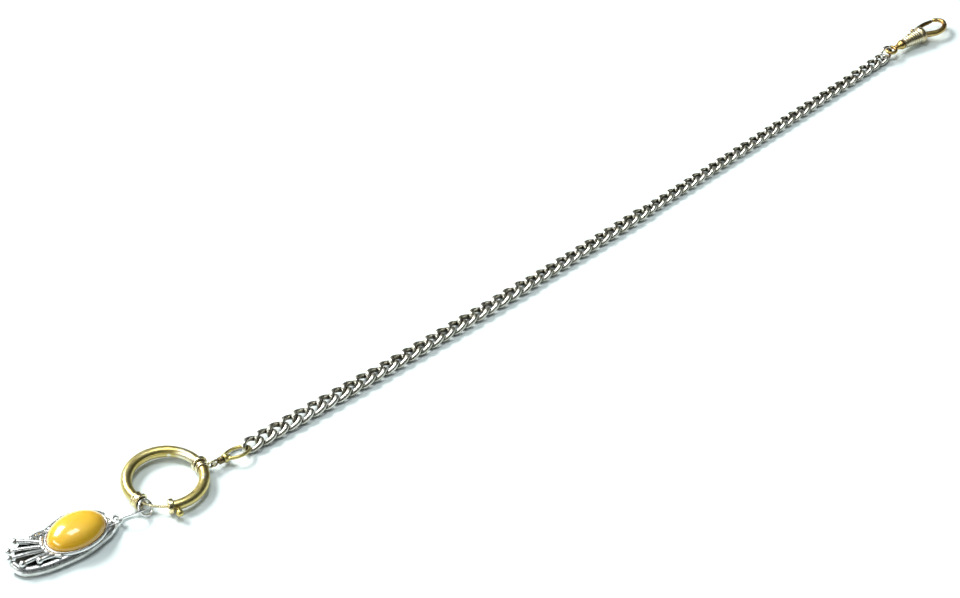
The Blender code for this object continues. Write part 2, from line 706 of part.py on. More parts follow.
def make_stone(fob):
    """The cabochon in its bezel; both are turned round and then drawn out to ovals."""
    steps = 6
    dome = []
    for i in range(steps + 1):
        angle = math.pi / 2 * i / steps
        dome.append((math.sin(angle) ** 0.85, STONE_RISE * math.cos(angle)))
    dome += [(0.97, -0.12 * MM), (0, -0.12 * MM)]
    stone = turned("cabochon", dome, 28)
    frame = stone_frame(STONE_BASE + 0.2 * MM - FOB_EYE.z)
    place(stone, fob, frame @ oval(STONE_HALF_LENGTH, STONE_HALF_WIDTH), "amber_cabochon")
    inner = 1.0 + 0.06 * MM / STONE_HALF_WIDTH
    outer = inner + BEZEL_WALL / STONE_HALF_WIDTH
    bezel = turned("cabochon_bezel", [
        (outer - 0.02, BEZEL_TOP), (outer, BEZEL_TOP - 0.15 * MM), (outer, BEZEL_BOTTOM),
        (0.82, BEZEL_BOTTOM), (0.82, STONE_BASE), (inner, STONE_BASE), (inner, BEZEL_TOP),
    ], 28, closed=True)
    frame = stone_frame(-FOB_EYE.z)
    place(bezel, fob, frame @ oval(STONE_HALF_LENGTH, STONE_HALF_WIDTH), "fob_silver")


def make_rods(fob):
    """A fan of rods with balls at their ends, from an arc round the stone's outer end."""
    root_arc = [
        stone_frame(3.1 * MM) @ Vector((8.5 * MM * math.cos(a), 6.15 * MM * math.sin(a), 0))
        for a in [math.radians(143 + 12 * i) for i in range(7)]
    ]
    fan = wire_mesh("fan_rods", root_arc, ROD_RADIUS * 1.1, resolution=1)
    place(fan, fob, shift(z=-FOB_EYE.z), "fob_silver")
    rods = [
        ((-22.4, 7.1, 3.4), 1),
        ((-25.2, 5.3, 3.5), 2),
        ((-26.5, 3.0, 3.95), 3),
        ((-24.8, 0.2, 3.5), 4),
        ((-21.3, -1.3, 3.5), 5),
    ]
    for tip, root in rods:
        tip = Vector(tip) * MM
        path = [root_arc[root], root_arc[root].lerp(tip, 0.5) + Vector((0, 0, 0.15 * MM)), tip]
        combine(fan, wire_mesh("rod", path, ROD_RADIUS, resolution=1, radii=[1.15, 1, 0.9]))
        combine(fan, ball("rod_ball", ROD_RADIUS * 1.65, 8, 6), Matrix.Translation(tip))


def make_fob(parent):
    lower_pivot = make_jump_rings(parent)
    frame = parent.matrix_local.inverted() @ Matrix.Translation(FOB_EYE) @ turn(FOB_HEADING, "Z")
    bpy.context.view_layer.update()
    local = lower_pivot.matrix_world.inverted() @ frame
    fob = pivot("fob_pivot", local, lower_pivot)
    make_fob_frame(fob)
    make_pave(fob)
    make_stone(fob)
    make_rods(fob)


# Swivel clip


def make_end_ring(parent, chain_end):
    hinge = pivot("end_ring_pivot", Matrix.Translation(chain_end), parent)
    ring = wire_curve(
        "end_jump_ring", ring_points(END_RING_RADIUS, 18), END_RING_WIRE, closed=True, resolution=1
    )
    height = END_RING_RADIUS * math.cos(math.radians(END_RING_LEAN)) + END_RING_WIRE
    centre = shift(x=END_RING_REACH, z=height - chain_end.z)
    place(ring, hinge, centre @ turn(90 - END_RING_LEAN, "X"), "brass_clip")
    return chain_end + centre.translation


def body_profile():
    """The clip's body, from its hook end down to the swivel: a bulge, then turned ribs."""
    top = BODY_START + BODY_RIBBED_LENGTH + BULGE_LENGTH
    profile = [
        (0, top), (0.75 * MM, top), (1.5 * MM, top - 0.45 * MM), (BULGE_RADIUS, top - 1.1 * MM),
        (BULGE_RADIUS, top - 1.55 * MM), (BODY_RADII[1], top - BULGE_LENGTH),
    ]
    for i in range(BODY_RIBS):
        for share, depth in ((0.45, 1.0), (0.95, 0.0)):
            along = (i + share) / BODY_RIBS
            radius = BODY_RADII[1] + (BODY_RADII[0] - BODY_RADII[1]) * along
            profile.append((radius - depth * RIB_DEPTH, top - BULGE_LENGTH - BODY_RIBBED_LENGTH * along))
    profile += [(BODY_RADII[0] - 0.15 * MM, BODY_START), (0, BODY_START)]
    return profile


def make_clip(parent, ring_centre):
    """The clip's swivel eye hangs on the far side of the end ring."""
    reach = END_RING_RADIUS + CLIP_EYE_RADIUS - CLIP_EYE_WIRE - END_RING_WIRE - 0.08 * MM
    eye_spot = Vector((ring_centre.x + reach, ring_centre.y, CLIP_HEIGHT))
    clip_frame = Matrix.Translation(eye_spot) @ turn(CLIP_HEADING, "Z")
    hinge = pivot("clip_eye_pivot", clip_frame, parent)
    neck = turned("clip_swivel", [
        (0, 5.5 * MM), (0.85 * MM, 5.35 * MM), (0.85 * MM, 4.75 * MM), (0.45 * MM, 4.7 * MM),
        (0.45 * MM, 3.8 * MM), (1.15 * MM, 3.75 * MM), (1.2 * MM, 3.3 * MM),
        (0.75 * MM, 1.9 * MM), (0.6 * MM, 1.25 * MM), (0, 1.1 * MM),
    ], 16)
    place(neck, hinge, along_x(), "brass_clip")
    eye = wire_mesh("eye", ring_points(CLIP_EYE_RADIUS, 14), CLIP_EYE_WIRE, closed=True, resolution=2)
    combine(neck, eye, turn(-90, "Y"))

    spin = pivot("clip_spin_pivot", Matrix(), hinge)
    body = turned("clip_body", body_profile(), 14)
    place(body, spin, along_x(), "brass_clip")
    inverse = turn(-90, "Y")
    combine(body, cylinder("neck_bore", 0.45 * MM + FIT_GAP, 4 * MM, 12),
            inverse @ shift(x=4 * MM) @ along_x(), "DIFFERENCE")
    combine(body, cylinder("head_room", 0.85 * MM + FIT_GAP, 1.1 * MM, 12),
            inverse @ shift(x=5.15 * MM) @ along_x(), "DIFFERENCE")
    slot_low = (LEVER_PIVOT.x - 0.95 * MM, -0.02 * MM, -LEVER_SLOT_HALF_HEIGHT)
    slot_high = (12 * MM, 3 * MM, LEVER_SLOT_HALF_HEIGHT)
    combine(body, box("lever_slot", slot_low, slot_high), inverse, "DIFFERENCE")
    pin_hole = cylinder("pin_hole", LEVER_PIN_RADIUS + FIT_GAP / 2, 8 * MM, 12)
    combine(body, pin_hole, inverse @ Matrix.Translation(LEVER_PIVOT), "DIFFERENCE")
    make_hook(spin)
    make_lever(spin)


def make_hook(spin):
    """The fixed hook, let into the end of the body and bent round to meet the lever."""
    knots = [
        (11.18, -0.75), (12.4, -1.35), (14.0, -1.85), (15.7, -1.7), (17.1, -0.85),
        (17.75, 0.45), (17.35, 1.6), (16.3, 2.35),
    ]
    path = smooth_path([Vector((x * MM, y * MM, 0)) for x, y in knots], 2)
    radii = [1.0 - 0.3 * i / (len(path) - 1) for i in range(len(path))]
    hook = wire_curve("clip_hook", path, HOOK_RADIUS, resolution=2, radii=radii)
    place(hook, spin, Matrix(), "brass_clip")


def make_lever(spin):
    """The sprung lever, with an eye on its pin, closes the hook from the other side."""
    hinge = pivot("lever_pivot", Matrix.Translation(LEVER_PIVOT), spin)
    knots = [(0.1, 0.05), (1.5, 0.55), (3.2, 1.15), (4.9, 1.55), (6.8, 1.75), (9.1, 1.6)]
    path = smooth_path([Vector((x * MM, y * MM, 0)) for x, y in knots], 2)
    radii = [1, 1, 1.05, 1.1, 1.1, 1.05, 1, 0.95, 0.9, 0.85, 0.8]
    lever = wire_mesh("clip_lever", path, LEVER_RADIUS, resolution=2, radii=radii)
    place(lever, hinge, Matrix(), "brass_clip")
    combine(lever, cylinder("eye", 0.68 * MM, 2 * LEVER_HALF_HEIGHT, 14))
    thumb = ball("thumb", 0.62 * MM, 10, 7)
    combine(lever, thumb, Matrix.Translation(Vector((2.9, 1.5, 0)) * MM))
    hole = cylinder("hole", LEVER_PIN_RADIUS + FIT_GAP, 4 * MM, 12)
    combine(lever, hole, operation="DIFFERENCE")
    pin = cylinder("lever_pin", LEVER_PIN_RADIUS, 2.9 * MM, 12)
    place(pin, spin, Matrix.Translation(LEVER_PIVOT), "brass_clip")
    knots = [(7.3, 0.2), (8.4, 0.18), (9.4, 0.42), (10.1, 0.82)]
    path = smooth_path([Vector((x * MM, y * MM, 0)) for x, y in knots], 3)
    leaf = wire_curve("lever_spring", path, 0.1 * MM, resolution=1)
    place(leaf, spin, Matrix(), "spring_steel")


# The whole


def stand_on_origin(root):
    """Moves the whole object so that the world's origin is under its middle, on the table."""
    bpy.context.view_layer.update()
    view = bpy.context.evaluated_depsgraph_get()
    corners = []
    for piece in PARTS.objects:
        if piece.type in {"MESH", "CURVE"}:
            mesh = piece.evaluated_get(view).to_mesh()
            corners += [piece.matrix_world @ vertex.co for vertex in mesh.vertices]
            piece.evaluated_get(view).to_mesh_clear()
    low = [min(c[axis] for c in corners) for axis in range(3)]
    high = [max(c[axis] for c in corners) for axis in range(3)]
    root.location = (-(low[0] + high[0]) / 2, -(low[1] + high[1]) / 2, -low[2])
    bpy.context.view_layer.update()


def make_watch_chain():
    root = bpy.data.objects.new("watch_chain_root", None)
    PARTS.objects.link(root)
    make_ring_tubes(root)
    make_ring_collars(root)
    make_bolt(root)
    make_spring(root)
    make_swivel(root)
    chain_end = make_chain(root)
    ring_centre = make_end_ring(root, chain_end)
    make_clip(root, ring_centre)
    make_fob(root)
    stand_on_origin(root)


PARTS, CUTTERS = start_scene()
MATERIALS = {name: make_finish(name) for name in FINISHES}
make_watch_chain()
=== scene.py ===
"""Looks of the pocket watch chain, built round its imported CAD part.

Every piece is made again here with a finer shape and rides on its CAD body, except the springs
and the plug inside, which keep their CAD shapes. Shapes are worked out in millimetres, in the
same local frames as the part's, and scaled to metres at the end. Angles are in degrees.
"""

import json
import math

import bpy
import numpy as np
from mathutils import Matrix, Vector, noise


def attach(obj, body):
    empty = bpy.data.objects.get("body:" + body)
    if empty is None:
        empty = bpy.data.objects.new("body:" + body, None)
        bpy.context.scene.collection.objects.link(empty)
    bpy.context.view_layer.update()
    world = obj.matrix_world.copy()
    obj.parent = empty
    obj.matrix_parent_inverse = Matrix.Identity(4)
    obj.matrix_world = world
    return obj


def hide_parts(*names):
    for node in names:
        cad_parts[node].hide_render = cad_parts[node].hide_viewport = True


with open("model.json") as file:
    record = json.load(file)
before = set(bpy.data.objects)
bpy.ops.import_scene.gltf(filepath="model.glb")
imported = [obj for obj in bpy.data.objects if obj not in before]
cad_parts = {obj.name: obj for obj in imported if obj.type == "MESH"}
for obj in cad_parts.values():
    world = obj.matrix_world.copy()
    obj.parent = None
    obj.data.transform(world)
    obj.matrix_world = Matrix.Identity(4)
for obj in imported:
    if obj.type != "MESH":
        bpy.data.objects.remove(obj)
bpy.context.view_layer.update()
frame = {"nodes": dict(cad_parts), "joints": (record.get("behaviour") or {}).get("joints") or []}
JOINTS = {joint["name"]: joint for joint in frame["joints"]}

MM = 0.001

# Blender seeds its noise from the clock, so the noise in the surfaces is given a seed of its own.
SURFACE_SEED = 1
noise.seed_set(SURFACE_SEED)

# Bolt ring
RING_RADIUS = 8.75
RING_HEIGHT = 2.05
MAIN_TUBE_ARC = (-8.5, 182.2)
MAIN_TUBE_RADII = (1.2, 1.35)
BOLT_TUBE_ARC = (-122.0, -12.0)
BOLT_TUBE_RADII = (1.18, 1.28)
TUBE_WALL = 0.32
SLOT_ARC = (-117.5, -72.0)
SLOT_HALF_WIDTH = 0.42
BOLT_RADIUS = 0.32
BOLT_ARC = (185.5, 252.0)
KNOB_ANGLE = -113.2
KNOB_REACH = 11.35
KNOB_RADIUS = 0.85
EYE_WIRE = 0.24
EYE_RADIUS = 0.82
SOCKET_ANGLE = 186.5
MOUTH_COLLAR_ANGLE = -121.5
FLANGE_ANGLE = -9.5
LOOP_COLLAR_ANGLE = -18.4
LOOP_EYE_REACH = 2.3
GROOVE_ANGLES = (0.0, 22.0, 44.0)
GROOVE_WIDTH = 4.0
GROOVE_DEPTH = 0.035

# Swivel. The oval ring's near end is sunk in its boss.
SWIVEL_HEADING = -4.0
SWIVEL_DIP = 4.0
SWIVEL_EYE_REACH = 0.9
BARREL_REACH = 3.15
BOSS_REACH = 3.25
BOSS_LENGTH = 1.3
SWIVEL_OVAL = (3.1, 2.3)
SWIVEL_OVAL_WIRE = 0.42
SWIVEL_RING_LEAN = -20.0
OVAL_CENTRE = SWIVEL_OVAL[0] + 0.62 * BOSS_LENGTH

# Chain. The wire shown is a little stouter than the wire that sets the links' spacing.
SHOWN_WIRE = 1.24
LINK_PITCH = 3.768
LINK_WIRE = 1.06
LINK_WIDTH = 3.9
LINK_SQUARENESS = 2.5
LINK_HALF_TWIST = -45.0
LINK_PRESS = 0.12
LINK_FLAT = 1.12
LINK_CROWN = 0.35
JOINT_SLACK = 0.31
CHAIN_SIZES = ((1.0, 5), (0.958, 7), (0.88, 6), (0.778, 15))
CHAIN_START_ROLLS = (20, 16, 12, 8, 5, 2)
CHAIN_END_ROLLS = (10, 20)

# Jump rings. Each is cut through at one place, which leaves a narrow gap.
UPPER_JUMP_RADIUS = 1.75
UPPER_JUMP_HEADING = 14.0
UPPER_JUMP_LEAN = 50.0
LOWER_JUMP_OVAL = (3.16, 1.7)
LOWER_JUMP_DIP = -3.5
LOWER_JUMP_LEAN = -46.0
JUMP_WIRE = 0.3
JUMP_CLEARANCE = 0.06
JUMP_GAP = 5
JUMP_GAP_ANGLE = 60
END_RING_RADIUS = 1.72
END_RING_WIRE = 0.38
END_RING_LEAN = 12.0
END_RING_REACH = 0.45

# Fob
FOB_HEADING = -4.0
STONE_CENTRE = (-9.95, 1.07)
STONE_TURN = 2.0
STONE_HALVES = (7.3, 5.1)
STONE_BASE = 3.05
STONE_RISE = 3.6
BAR_RADIUS = 1.25
FLANK_RADIUS = 1.12
FOB_EYE_RADIUS = 1.0
FOB_EYE_WIRE = 0.34
RAIL_OVAL = (8.5, 6.35)
RAIL_RADIUS = 0.8
RAIL_HEIGHT = 1.0
ROD_ROOT_OVAL = (8.5, 6.15)
ROD_ROOT_HEIGHT = 3.1
ROD_ROOT_RADIUS = 0.46
ROD_RADIUS = 0.48
ROD_BALL_RADIUS = 0.78
# Heights of the near-black plate that paints the shade under the fan of rods.
SHADE_PLATE_HEIGHTS = (2.3, 2.6)
PAVE_RADIUS = 0.55
PAVE_COUNT = 20

# Clip
CLIP_HEADING = -5.0
CLIP_BODY_BOTTOM = 3.95
CLIP_RIBBED_LENGTH = 5.1
CLIP_BULGE_LENGTH = 2.0
CLIP_RIBS = 8
CLIP_RIB_DEPTH = 0.14
CLIP_EYE_RADIUS = 1.15
CLIP_EYE_WIRE = 0.42
HOOK_RADIUS = 0.72
LEVER_RADIUS = 0.55
LEVER_PIVOT = (6.3, 0.75)

# Table and camera. The table and the camera's distance are in metres.
TABLE_REACH = 3.0
TABLE_GLOW = 0.06
CAMERA_LENS = 158.5
CAMERA_AIM = (93.4, -2.5, 0)
CAMERA_DISTANCE = 0.990
CAMERA_ELEVATION = 42.5
CAMERA_HEADING = 42.8


# Matrices


def shift(x=0.0, y=0.0, z=0.0):
    return Matrix.Translation((x, y, z))


def turn(angle, axis):
    return Matrix.Rotation(math.radians(angle), 4, axis)


def joint_spot(name):
    """A joint's place, in millimetres in the row frame."""
    return Vector(JOINTS[name]["pos_m"]) / MM


ROOT = Matrix.Translation(joint_spot("bolt_draw"))


def on_ring(angle):
    return ROOT @ shift(z=RING_HEIGHT) @ turn(angle, "Z") @ shift(x=RING_RADIUS)


def along_tube(angle):
    return on_ring(angle) @ turn(-90, "X")


# Shapes: a shape is a pair of arrays, its points and its faces.


def tube(points, radius, sides=20, closed=False, radii=None, section=None, caps=3):
    """A wire along the points. section(angle, share) scales its radius; caps are rounded."""
    path = [Vector(p) for p in points]
    count = len(path)
    tangents = []
    for i in range(count):
        if closed:
            tangents.append((path[(i + 1) % count] - path[i - 1]).normalized())
        else:
            tangents.append((path[min(i + 1, count - 1)] - path[max(i - 1, 0)]).normalized())
    upright = Vector((0, 0, 1)) if abs(tangents[0].z) < 0.9 else Vector((1, 0, 0))
    side = tangents[0].cross(upright).normalized()
    rings = []
    for i in range(count):
        side = (side - tangents[i] * side.dot(tangents[i])).normalized()
        over = side.cross(tangents[i])
        scale = radius * (radii[i] if radii else 1.0)
        rings.append((path[i], side.copy(), over, tangents[i], scale, i / max(count - 1, 1)))
    if not closed and caps:
        rings = rounded_cap(rings[0], -1, caps)[::-1] + rings + rounded_cap(rings[-1], 1, caps)
    twist = 0.0
    if closed:
        last = rings[-1]
        carried = last[1] - tangents[0] * last[1].dot(tangents[0])
        twist = math.atan2(carried.dot(rings[0][2]), carried.dot(rings[0][1]))
    verts = []
    for k, (spot, across, over, _, scale, share) in enumerate(rings):
        for j in range(sides):
            angle = 2 * math.pi * j / sides - twist * k / len(rings)
            factor = section(angle, share) if section else 1.0
            outward = across * math.cos(angle) + over * math.sin(angle)
            verts.append(spot + outward * scale * factor)
    faces = []
    total = len(rings)
    for k in range(total if closed else total - 1):
        a, b = k * sides, ((k + 1) % total) * sides
        for j in range(sides):
            n = (j + 1) % sides
            faces.append((a + j, a + n, b + n, b + j))
    if not closed:
        faces.append(tuple(range(sides))[::-1])
        faces.append(tuple(range((total - 1) * sides, total * sides)))
    return verts, faces


def rounded_cap(ring, direction, steps):
    """Rings that close a wire's end with a dome a little flatter than a half ball."""
    spot, across, over, tangent, scale, share = ring
    made = []
    for step in range(1, steps + 1):
        angle = math.pi / 2 * step / (steps + 0.35)
        ahead = spot + tangent * direction * scale * 0.8 * math.sin(angle)
        made.append((ahead, across, over, tangent, scale * math.cos(angle), share))
    return made


def lathe(profile, steps=48, ripple=None):
    """Turns (radius, height) points about Z. ripple(angle, height) is added to the radius."""
    verts, rows = [], []
    for radius, height in profile:
        if radius < 1e-6:
            rows.append([len(verts)] * steps)
            verts.append(Vector((0, 0, height)))
            continue
        rows.append(list(range(len(verts), len(verts) + steps)))
        for j in range(steps):
            angle = 2 * math.pi * j / steps
            r = radius + (ripple(angle, height) if ripple else 0.0)
            verts.append(Vector((r * math.cos(angle), r * math.sin(angle), height)))
    faces = []
    for a, b in zip(rows, rows[1:]):
        for j in range(steps):
            n = (j + 1) % steps
            face = tuple(dict.fromkeys((a[j], a[n], b[n], b[j])))
            if len(face) > 2:
                faces.append(face)
    return verts, faces


def eased(profile, radius=0.1, steps=3, closed=False):
    """Rounds the corners of a profile."""
    points = [Vector(p) for p in profile]
    count = len(points)
    made = []
    for i, point in enumerate(points):
        if not closed and i in (0, count - 1):
            made.append(tuple(point))
            continue
        before = points[i - 1] - point
        after = points[(i + 1) % count] - point
        reach = min(radius, before.length * 0.45, after.length * 0.45)
        a = point + before.normalized() * reach
        b = point + after.normalized() * reach
        for step in range(steps + 1):
            t = step / steps
            made.append(tuple(a * (1 - t) ** 2 + point * 2 * t * (1 - t) + b * t * t))
    return made + made[:1] if closed else made


def ball(radius, steps=24, rings=14):
    profile = []
    for i in range(rings + 1):
        angle = math.pi * i / rings
        across = radius * math.sin(angle) if 0 < i < rings else 0.0
        profile.append((across, radius * math.cos(angle)))
    return lathe(profile, steps)


def moved(shape, matrix):
    return [matrix @ v for v in shape[0]], shape[1]


def joined(*shapes):
    verts, faces = [], []
    for more_verts, more_faces in shapes:
        base = len(verts)
        verts += more_verts
        faces += [tuple(base + i for i in face) for face in more_faces]
    return verts, faces


def bent(shape, amount, scale, where=None):
    """Moves each point a little, by smooth noise, for a cast or hand-worked surface."""
    verts = []
    for v in shape[0]:
        share = where(v) if where else 1.0
        verts.append(v + noise.noise_vector(v * scale) * amount * share)
    return verts, shape[1]


def circle(radius, steps=48, half_width=None, gap=0.0):
    """Points round an oval about Z, left open if it has a gap in degrees."""
    across = radius if half_width is None else half_width
    if gap:
        first = JUMP_GAP_ANGLE + gap / 2
        angles = [first + (360 - gap) * i / (steps - 1) for i in range(steps)]
    else:
        angles = [360 * (i + 0.5) / steps for i in range(steps)]
    return [
        Vector((radius * math.cos(math.radians(a)), across * math.sin(math.radians(a)), 0))
        for a in angles
    ]


def ring_arc(start, end, steps):
    """Points along the bolt ring's centre line, between two angles."""
    spots = []
    for i in range(steps + 1):
        a = math.radians(start + (end - start) * i / steps)
        spots.append(Vector((RING_RADIUS * math.cos(a), RING_RADIUS * math.sin(a), RING_HEIGHT)))
    return spots


def smooth_path(knots, steps):
    """A Catmull-Rom curve through the knots."""
    points = [Vector(k) for k in knots]
    padded = [2 * points[0] - points[1]] + points + [2 * points[-1] - points[-2]]
    path = []
    for i in range(len(points) - 1):
        a, b, c, d = padded[i : i + 4]
        for step in range(steps):
            t = step / steps
            path.append(0.5 * (2 * b + (c - a) * t + (2 * a - 5 * b + 4 * c - d) * t**2
                               + (3 * b - a - 3 * c + d) * t**3))
    path.append(points[-1])
    return path


def spread(values, count):
    """Stretches a short list of values over count points."""
    return list(np.interp(np.linspace(0, len(values) - 1, count), range(len(values)), values))


# Pieces


def piece(name, shape, material, body, replaces=(), sharp=38, matrix=None):
    """Makes a shape, in millimetres in the row frame, into an object that rides on a body."""
    if matrix is not None:
        shape = moved(shape, matrix)
    mesh = bpy.data.meshes.new(name)
    mesh.from_pydata([v * MM for v in shape[0]], [], shape[1])
    mesh.validate()
    thing = bpy.data.objects.new(name, mesh)
    bpy.context.scene.collection.objects.link(thing)
    mesh.shade_smooth()
    mesh.set_sharp_from_angle(angle=math.radians(sharp))
    mesh.materials.append(material)
    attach(thing, body)
    if replaces:
        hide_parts(*replaces)
    return thing


def cut(thing, cutter_shape):
    """Cuts a shape out of a piece for good, and leaves no modifier or cutter behind."""
    mesh = bpy.data.meshes.new("cutter")
    mesh.from_pydata([v * MM for v in cutter_shape[0]], [], cutter_shape[1])
    cutter = bpy.data.objects.new("cutter", mesh)
    bpy.context.scene.collection.objects.link(cutter)
    boolean = thing.modifiers.new("cut", "BOOLEAN")
    boolean.operation = "DIFFERENCE"
    boolean.solver = "EXACT"
    boolean.object = cutter
    view = bpy.context.evaluated_depsgraph_get()
    finished = bpy.data.meshes.new_from_object(thing.evaluated_get(view))
    thing.modifiers.clear()
    old = thing.data
    thing.data = finished
    bpy.data.objects.remove(cutter)
    bpy.data.meshes.remove(mesh)
    bpy.data.meshes.remove(old)
    finished.set_sharp_from_angle(angle=math.radians(38))


# Materials


class Nodes:
    """Adds nodes to one material, and joins them."""

    def __init__(self, name):
        self.material = bpy.data.materials.new(name)
        self.material.use_nodes = True
        self.tree = self.material.node_tree
        self.shader = self.tree.nodes["Principled BSDF"]
        self.place = self.add("ShaderNodeTexCoord").outputs["Object"]

    def add(self, kind, **settings):
        made = self.tree.nodes.new(kind)
        for key, value in settings.items():
            setattr(made, key, value)
        return made

    def put(self, socket, value):
        if isinstance(value, bpy.types.NodeSocket):
            self.tree.links.new(value, socket)
        else:
            socket.default_value = value

    def noise(self, scale, detail=3.0, roughness=0.55, stretch=None):
        place = self.place
        if stretch:
            mapping = self.add("ShaderNodeMapping")
            mapping.inputs["Scale"].default_value = stretch
            self.put(mapping.inputs["Vector"], place)
            place = mapping.outputs["Vector"]
        made = self.add("ShaderNodeTexNoise")
        self.put(made.inputs["Vector"], place)
        made.inputs["Scale"].default_value = scale
        made.inputs["Detail"].default_value = detail
        made.inputs["Roughness"].default_value = roughness
        return made.outputs["Fac"]

    def span(self, value, low, high, to_low=0.0, to_high=1.0):
        made = self.add("ShaderNodeMapRange", interpolation_type="SMOOTHSTEP")
        self.put(made.inputs["Value"], value)
        for key, number in (("From Min", low), ("From Max", high),
                            ("To Min", to_low), ("To Max", to_high)):
            made.inputs[key].default_value = number
        return made.outputs["Result"]

    def mix(self, factor, a, b):
        made = self.add("ShaderNodeMix", data_type="RGBA")
        self.put(made.inputs["Factor"], factor)
        for socket, value in ((made.inputs[6], a), (made.inputs[7], b)):
            self.put(socket, (*value, 1.0) if isinstance(value, tuple) else value)
        return made.outputs[2]

    def math(self, operation, a, b):
        made = self.add("ShaderNodeMath", operation=operation)
        made.use_clamp = True
        self.put(made.inputs[0], a)
        self.put(made.inputs[1], b)
        return made.outputs[0]

    def crevices(self, distance):
        """1 in the open, 0 deep in a corner."""
        made = self.add("ShaderNodeAmbientOcclusion", samples=8)
        made.inputs["Distance"].default_value = distance
        return made.outputs["AO"]

    def edges(self, low, high):
        geometry = self.add("ShaderNodeNewGeometry")
        return self.span(geometry.outputs["Pointiness"], low, high)

    def bump(self, height, strength, distance, under=None):
        made = self.add("ShaderNodeBump")
        made.inputs["Strength"].default_value = strength
        made.inputs["Distance"].default_value = distance
        self.put(made.inputs["Height"], height)
        if under is not None:
            self.put(made.inputs["Normal"], under)
        return made.outputs["Normal"]


def metal(name, base, second, worn, grime_and_shade, rough=(0.16, 0.34), patch=260, worn_from=0.62,
          grime_shade_reach=1.4, grime_shade_span=(0.25, 0.75), dents=0.25, scratches=(1, 1, 1)):
    """A worn plated metal: patches of two tones, bare edges, scratches, and dirt with painted shade
    darkening the corners.
    """
    n = Nodes(name)
    patches = n.span(n.noise(patch, 4), 0.38, 0.64)
    colour = n.mix(patches, base, second)
    rubbed = n.span(n.noise(patch * 0.45, 3), worn_from, worn_from + 0.14)
    edges = n.math("MULTIPLY", n.edges(0.505, 0.56), 0.8)
    colour = n.mix(n.math("MAXIMUM", rubbed, edges), colour, worn)
    # Painted shade: where other surfaces hem the surface in, the colour goes to the near-black grime
    # colour, which stands for real dirt and for the shade in corners and between parts.
    open_air = n.crevices(grime_shade_reach * MM)
    speckle = n.math("MULTIPLY", n.noise(2600, 2), 0.22)
    grime_and_shade_mask = n.span(n.math("SUBTRACT", open_air, speckle), *grime_shade_span, 1.0, 0.0)
    colour = n.mix(n.math("MULTIPLY", grime_and_shade_mask, 0.93), colour, grime_and_shade)
    n.put(n.shader.inputs["Base Color"], colour)
    fine = n.noise(1500, 3, stretch=scratches)
    n.put(n.shader.inputs["Roughness"], n.math("ADD", n.span(fine, 0.3, 0.7, *rough),
                                               n.math("MULTIPLY", grime_and_shade_mask, 0.25)))
    n.shader.inputs["Metallic"].default_value = 1.0
    soft = n.bump(n.noise(520, 2), dents, 0.06 * MM)
    n.put(n.shader.inputs["Normal"], n.bump(fine, 0.18, 0.015 * MM, soft))
    return n.material


def amber(name):
    """An opaque resin: warm streaks in it, a painted highlight that lightens the top of the stone,
    and a polished skin.
    """
    n = Nodes(name)
    streaks = n.span(n.noise(210, 5, 0.6, stretch=(0.35, 1.6, 1.0)), 0.32, 0.68)
    colour = n.mix(streaks, (0.66, 0.33, 0.012), (0.78, 0.44, 0.022))
    # Painted highlight: the colour grows lighter and yellower towards the top of the stone.
    height = n.add("ShaderNodeSeparateXYZ")
    n.put(height.inputs[0], n.place)
    painted_top_highlight = n.span(height.outputs["Z"], 3.4 * MM, 6.6 * MM)
    colour = n.mix(n.math("MULTIPLY", painted_top_highlight, 0.6), colour, (0.90, 0.60, 0.07))
    n.put(n.shader.inputs["Base Color"], colour)
    n.put(n.shader.inputs["Roughness"], n.span(n.noise(700, 3), 0.3, 0.7, 0.14, 0.26))
    n.shader.inputs["IOR"].default_value = 1.54
    n.shader.inputs["Coat Weight"].default_value = 0.6
    n.shader.inputs["Coat Roughness"].default_value = 0.08
    n.shader.inputs["Subsurface Weight"].default_value = 0.12
    n.shader.inputs["Subsurface Radius"].default_value = (1.6 * MM, 0.7 * MM, 0.1 * MM)
    n.shader.inputs["Subsurface Scale"].default_value = 1.0
    n.put(n.shader.inputs["Normal"], n.bump(n.noise(420, 2), 0.12, 0.03 * MM))
    return n.material


def gem(name):
    """Small clear stones over a bright foil, each facet a little different."""
    n = Nodes(name)
    colour = n.mix(n.noise(1300, 1), (0.52, 0.56, 0.58), (0.98, 1.0, 1.0))
    n.put(n.shader.inputs["Base Color"], colour)
    n.put(n.shader.inputs["Roughness"], n.span(n.noise(1700, 1), 0.3, 0.7, 0.03, 0.09))
    n.shader.inputs["Metallic"].default_value = 0.75
    n.shader.inputs["IOR"].default_value = 2.1
    n.put(n.shader.inputs["Normal"], n.bump(n.noise(3000, 1), 0.2, 0.02 * MM))
    return n.material


NICKEL = metal("worn_nickel", (0.76, 0.74, 0.66), (0.62, 0.60, 0.50), (0.90, 0.89, 0.84),
               (0.030, 0.026, 0.012), rough=(0.24, 0.37), grime_shade_reach=1.6,
               grime_shade_span=(0.36, 0.80), dents=0.12)
GILT = metal("worn_gilt", (0.61, 0.50, 0.17), (0.67, 0.58, 0.27), (0.82, 0.80, 0.70),
             (0.045, 0.034, 0.012), rough=(0.30, 0.42), patch=170, worn_from=0.56,
             grime_shade_reach=1.2, grime_shade_span=(0.26, 0.68), dents=0.05)
PALE_GILT = metal("pale_gilt", (0.80, 0.72, 0.48), (0.70, 0.58, 0.28), (0.88, 0.86, 0.78),
                  (0.05, 0.038, 0.018), rough=(0.22, 0.34), patch=300, worn_from=0.5, dents=0.1,
                  grime_shade_reach=1.0, grime_shade_span=(0.20, 0.60))
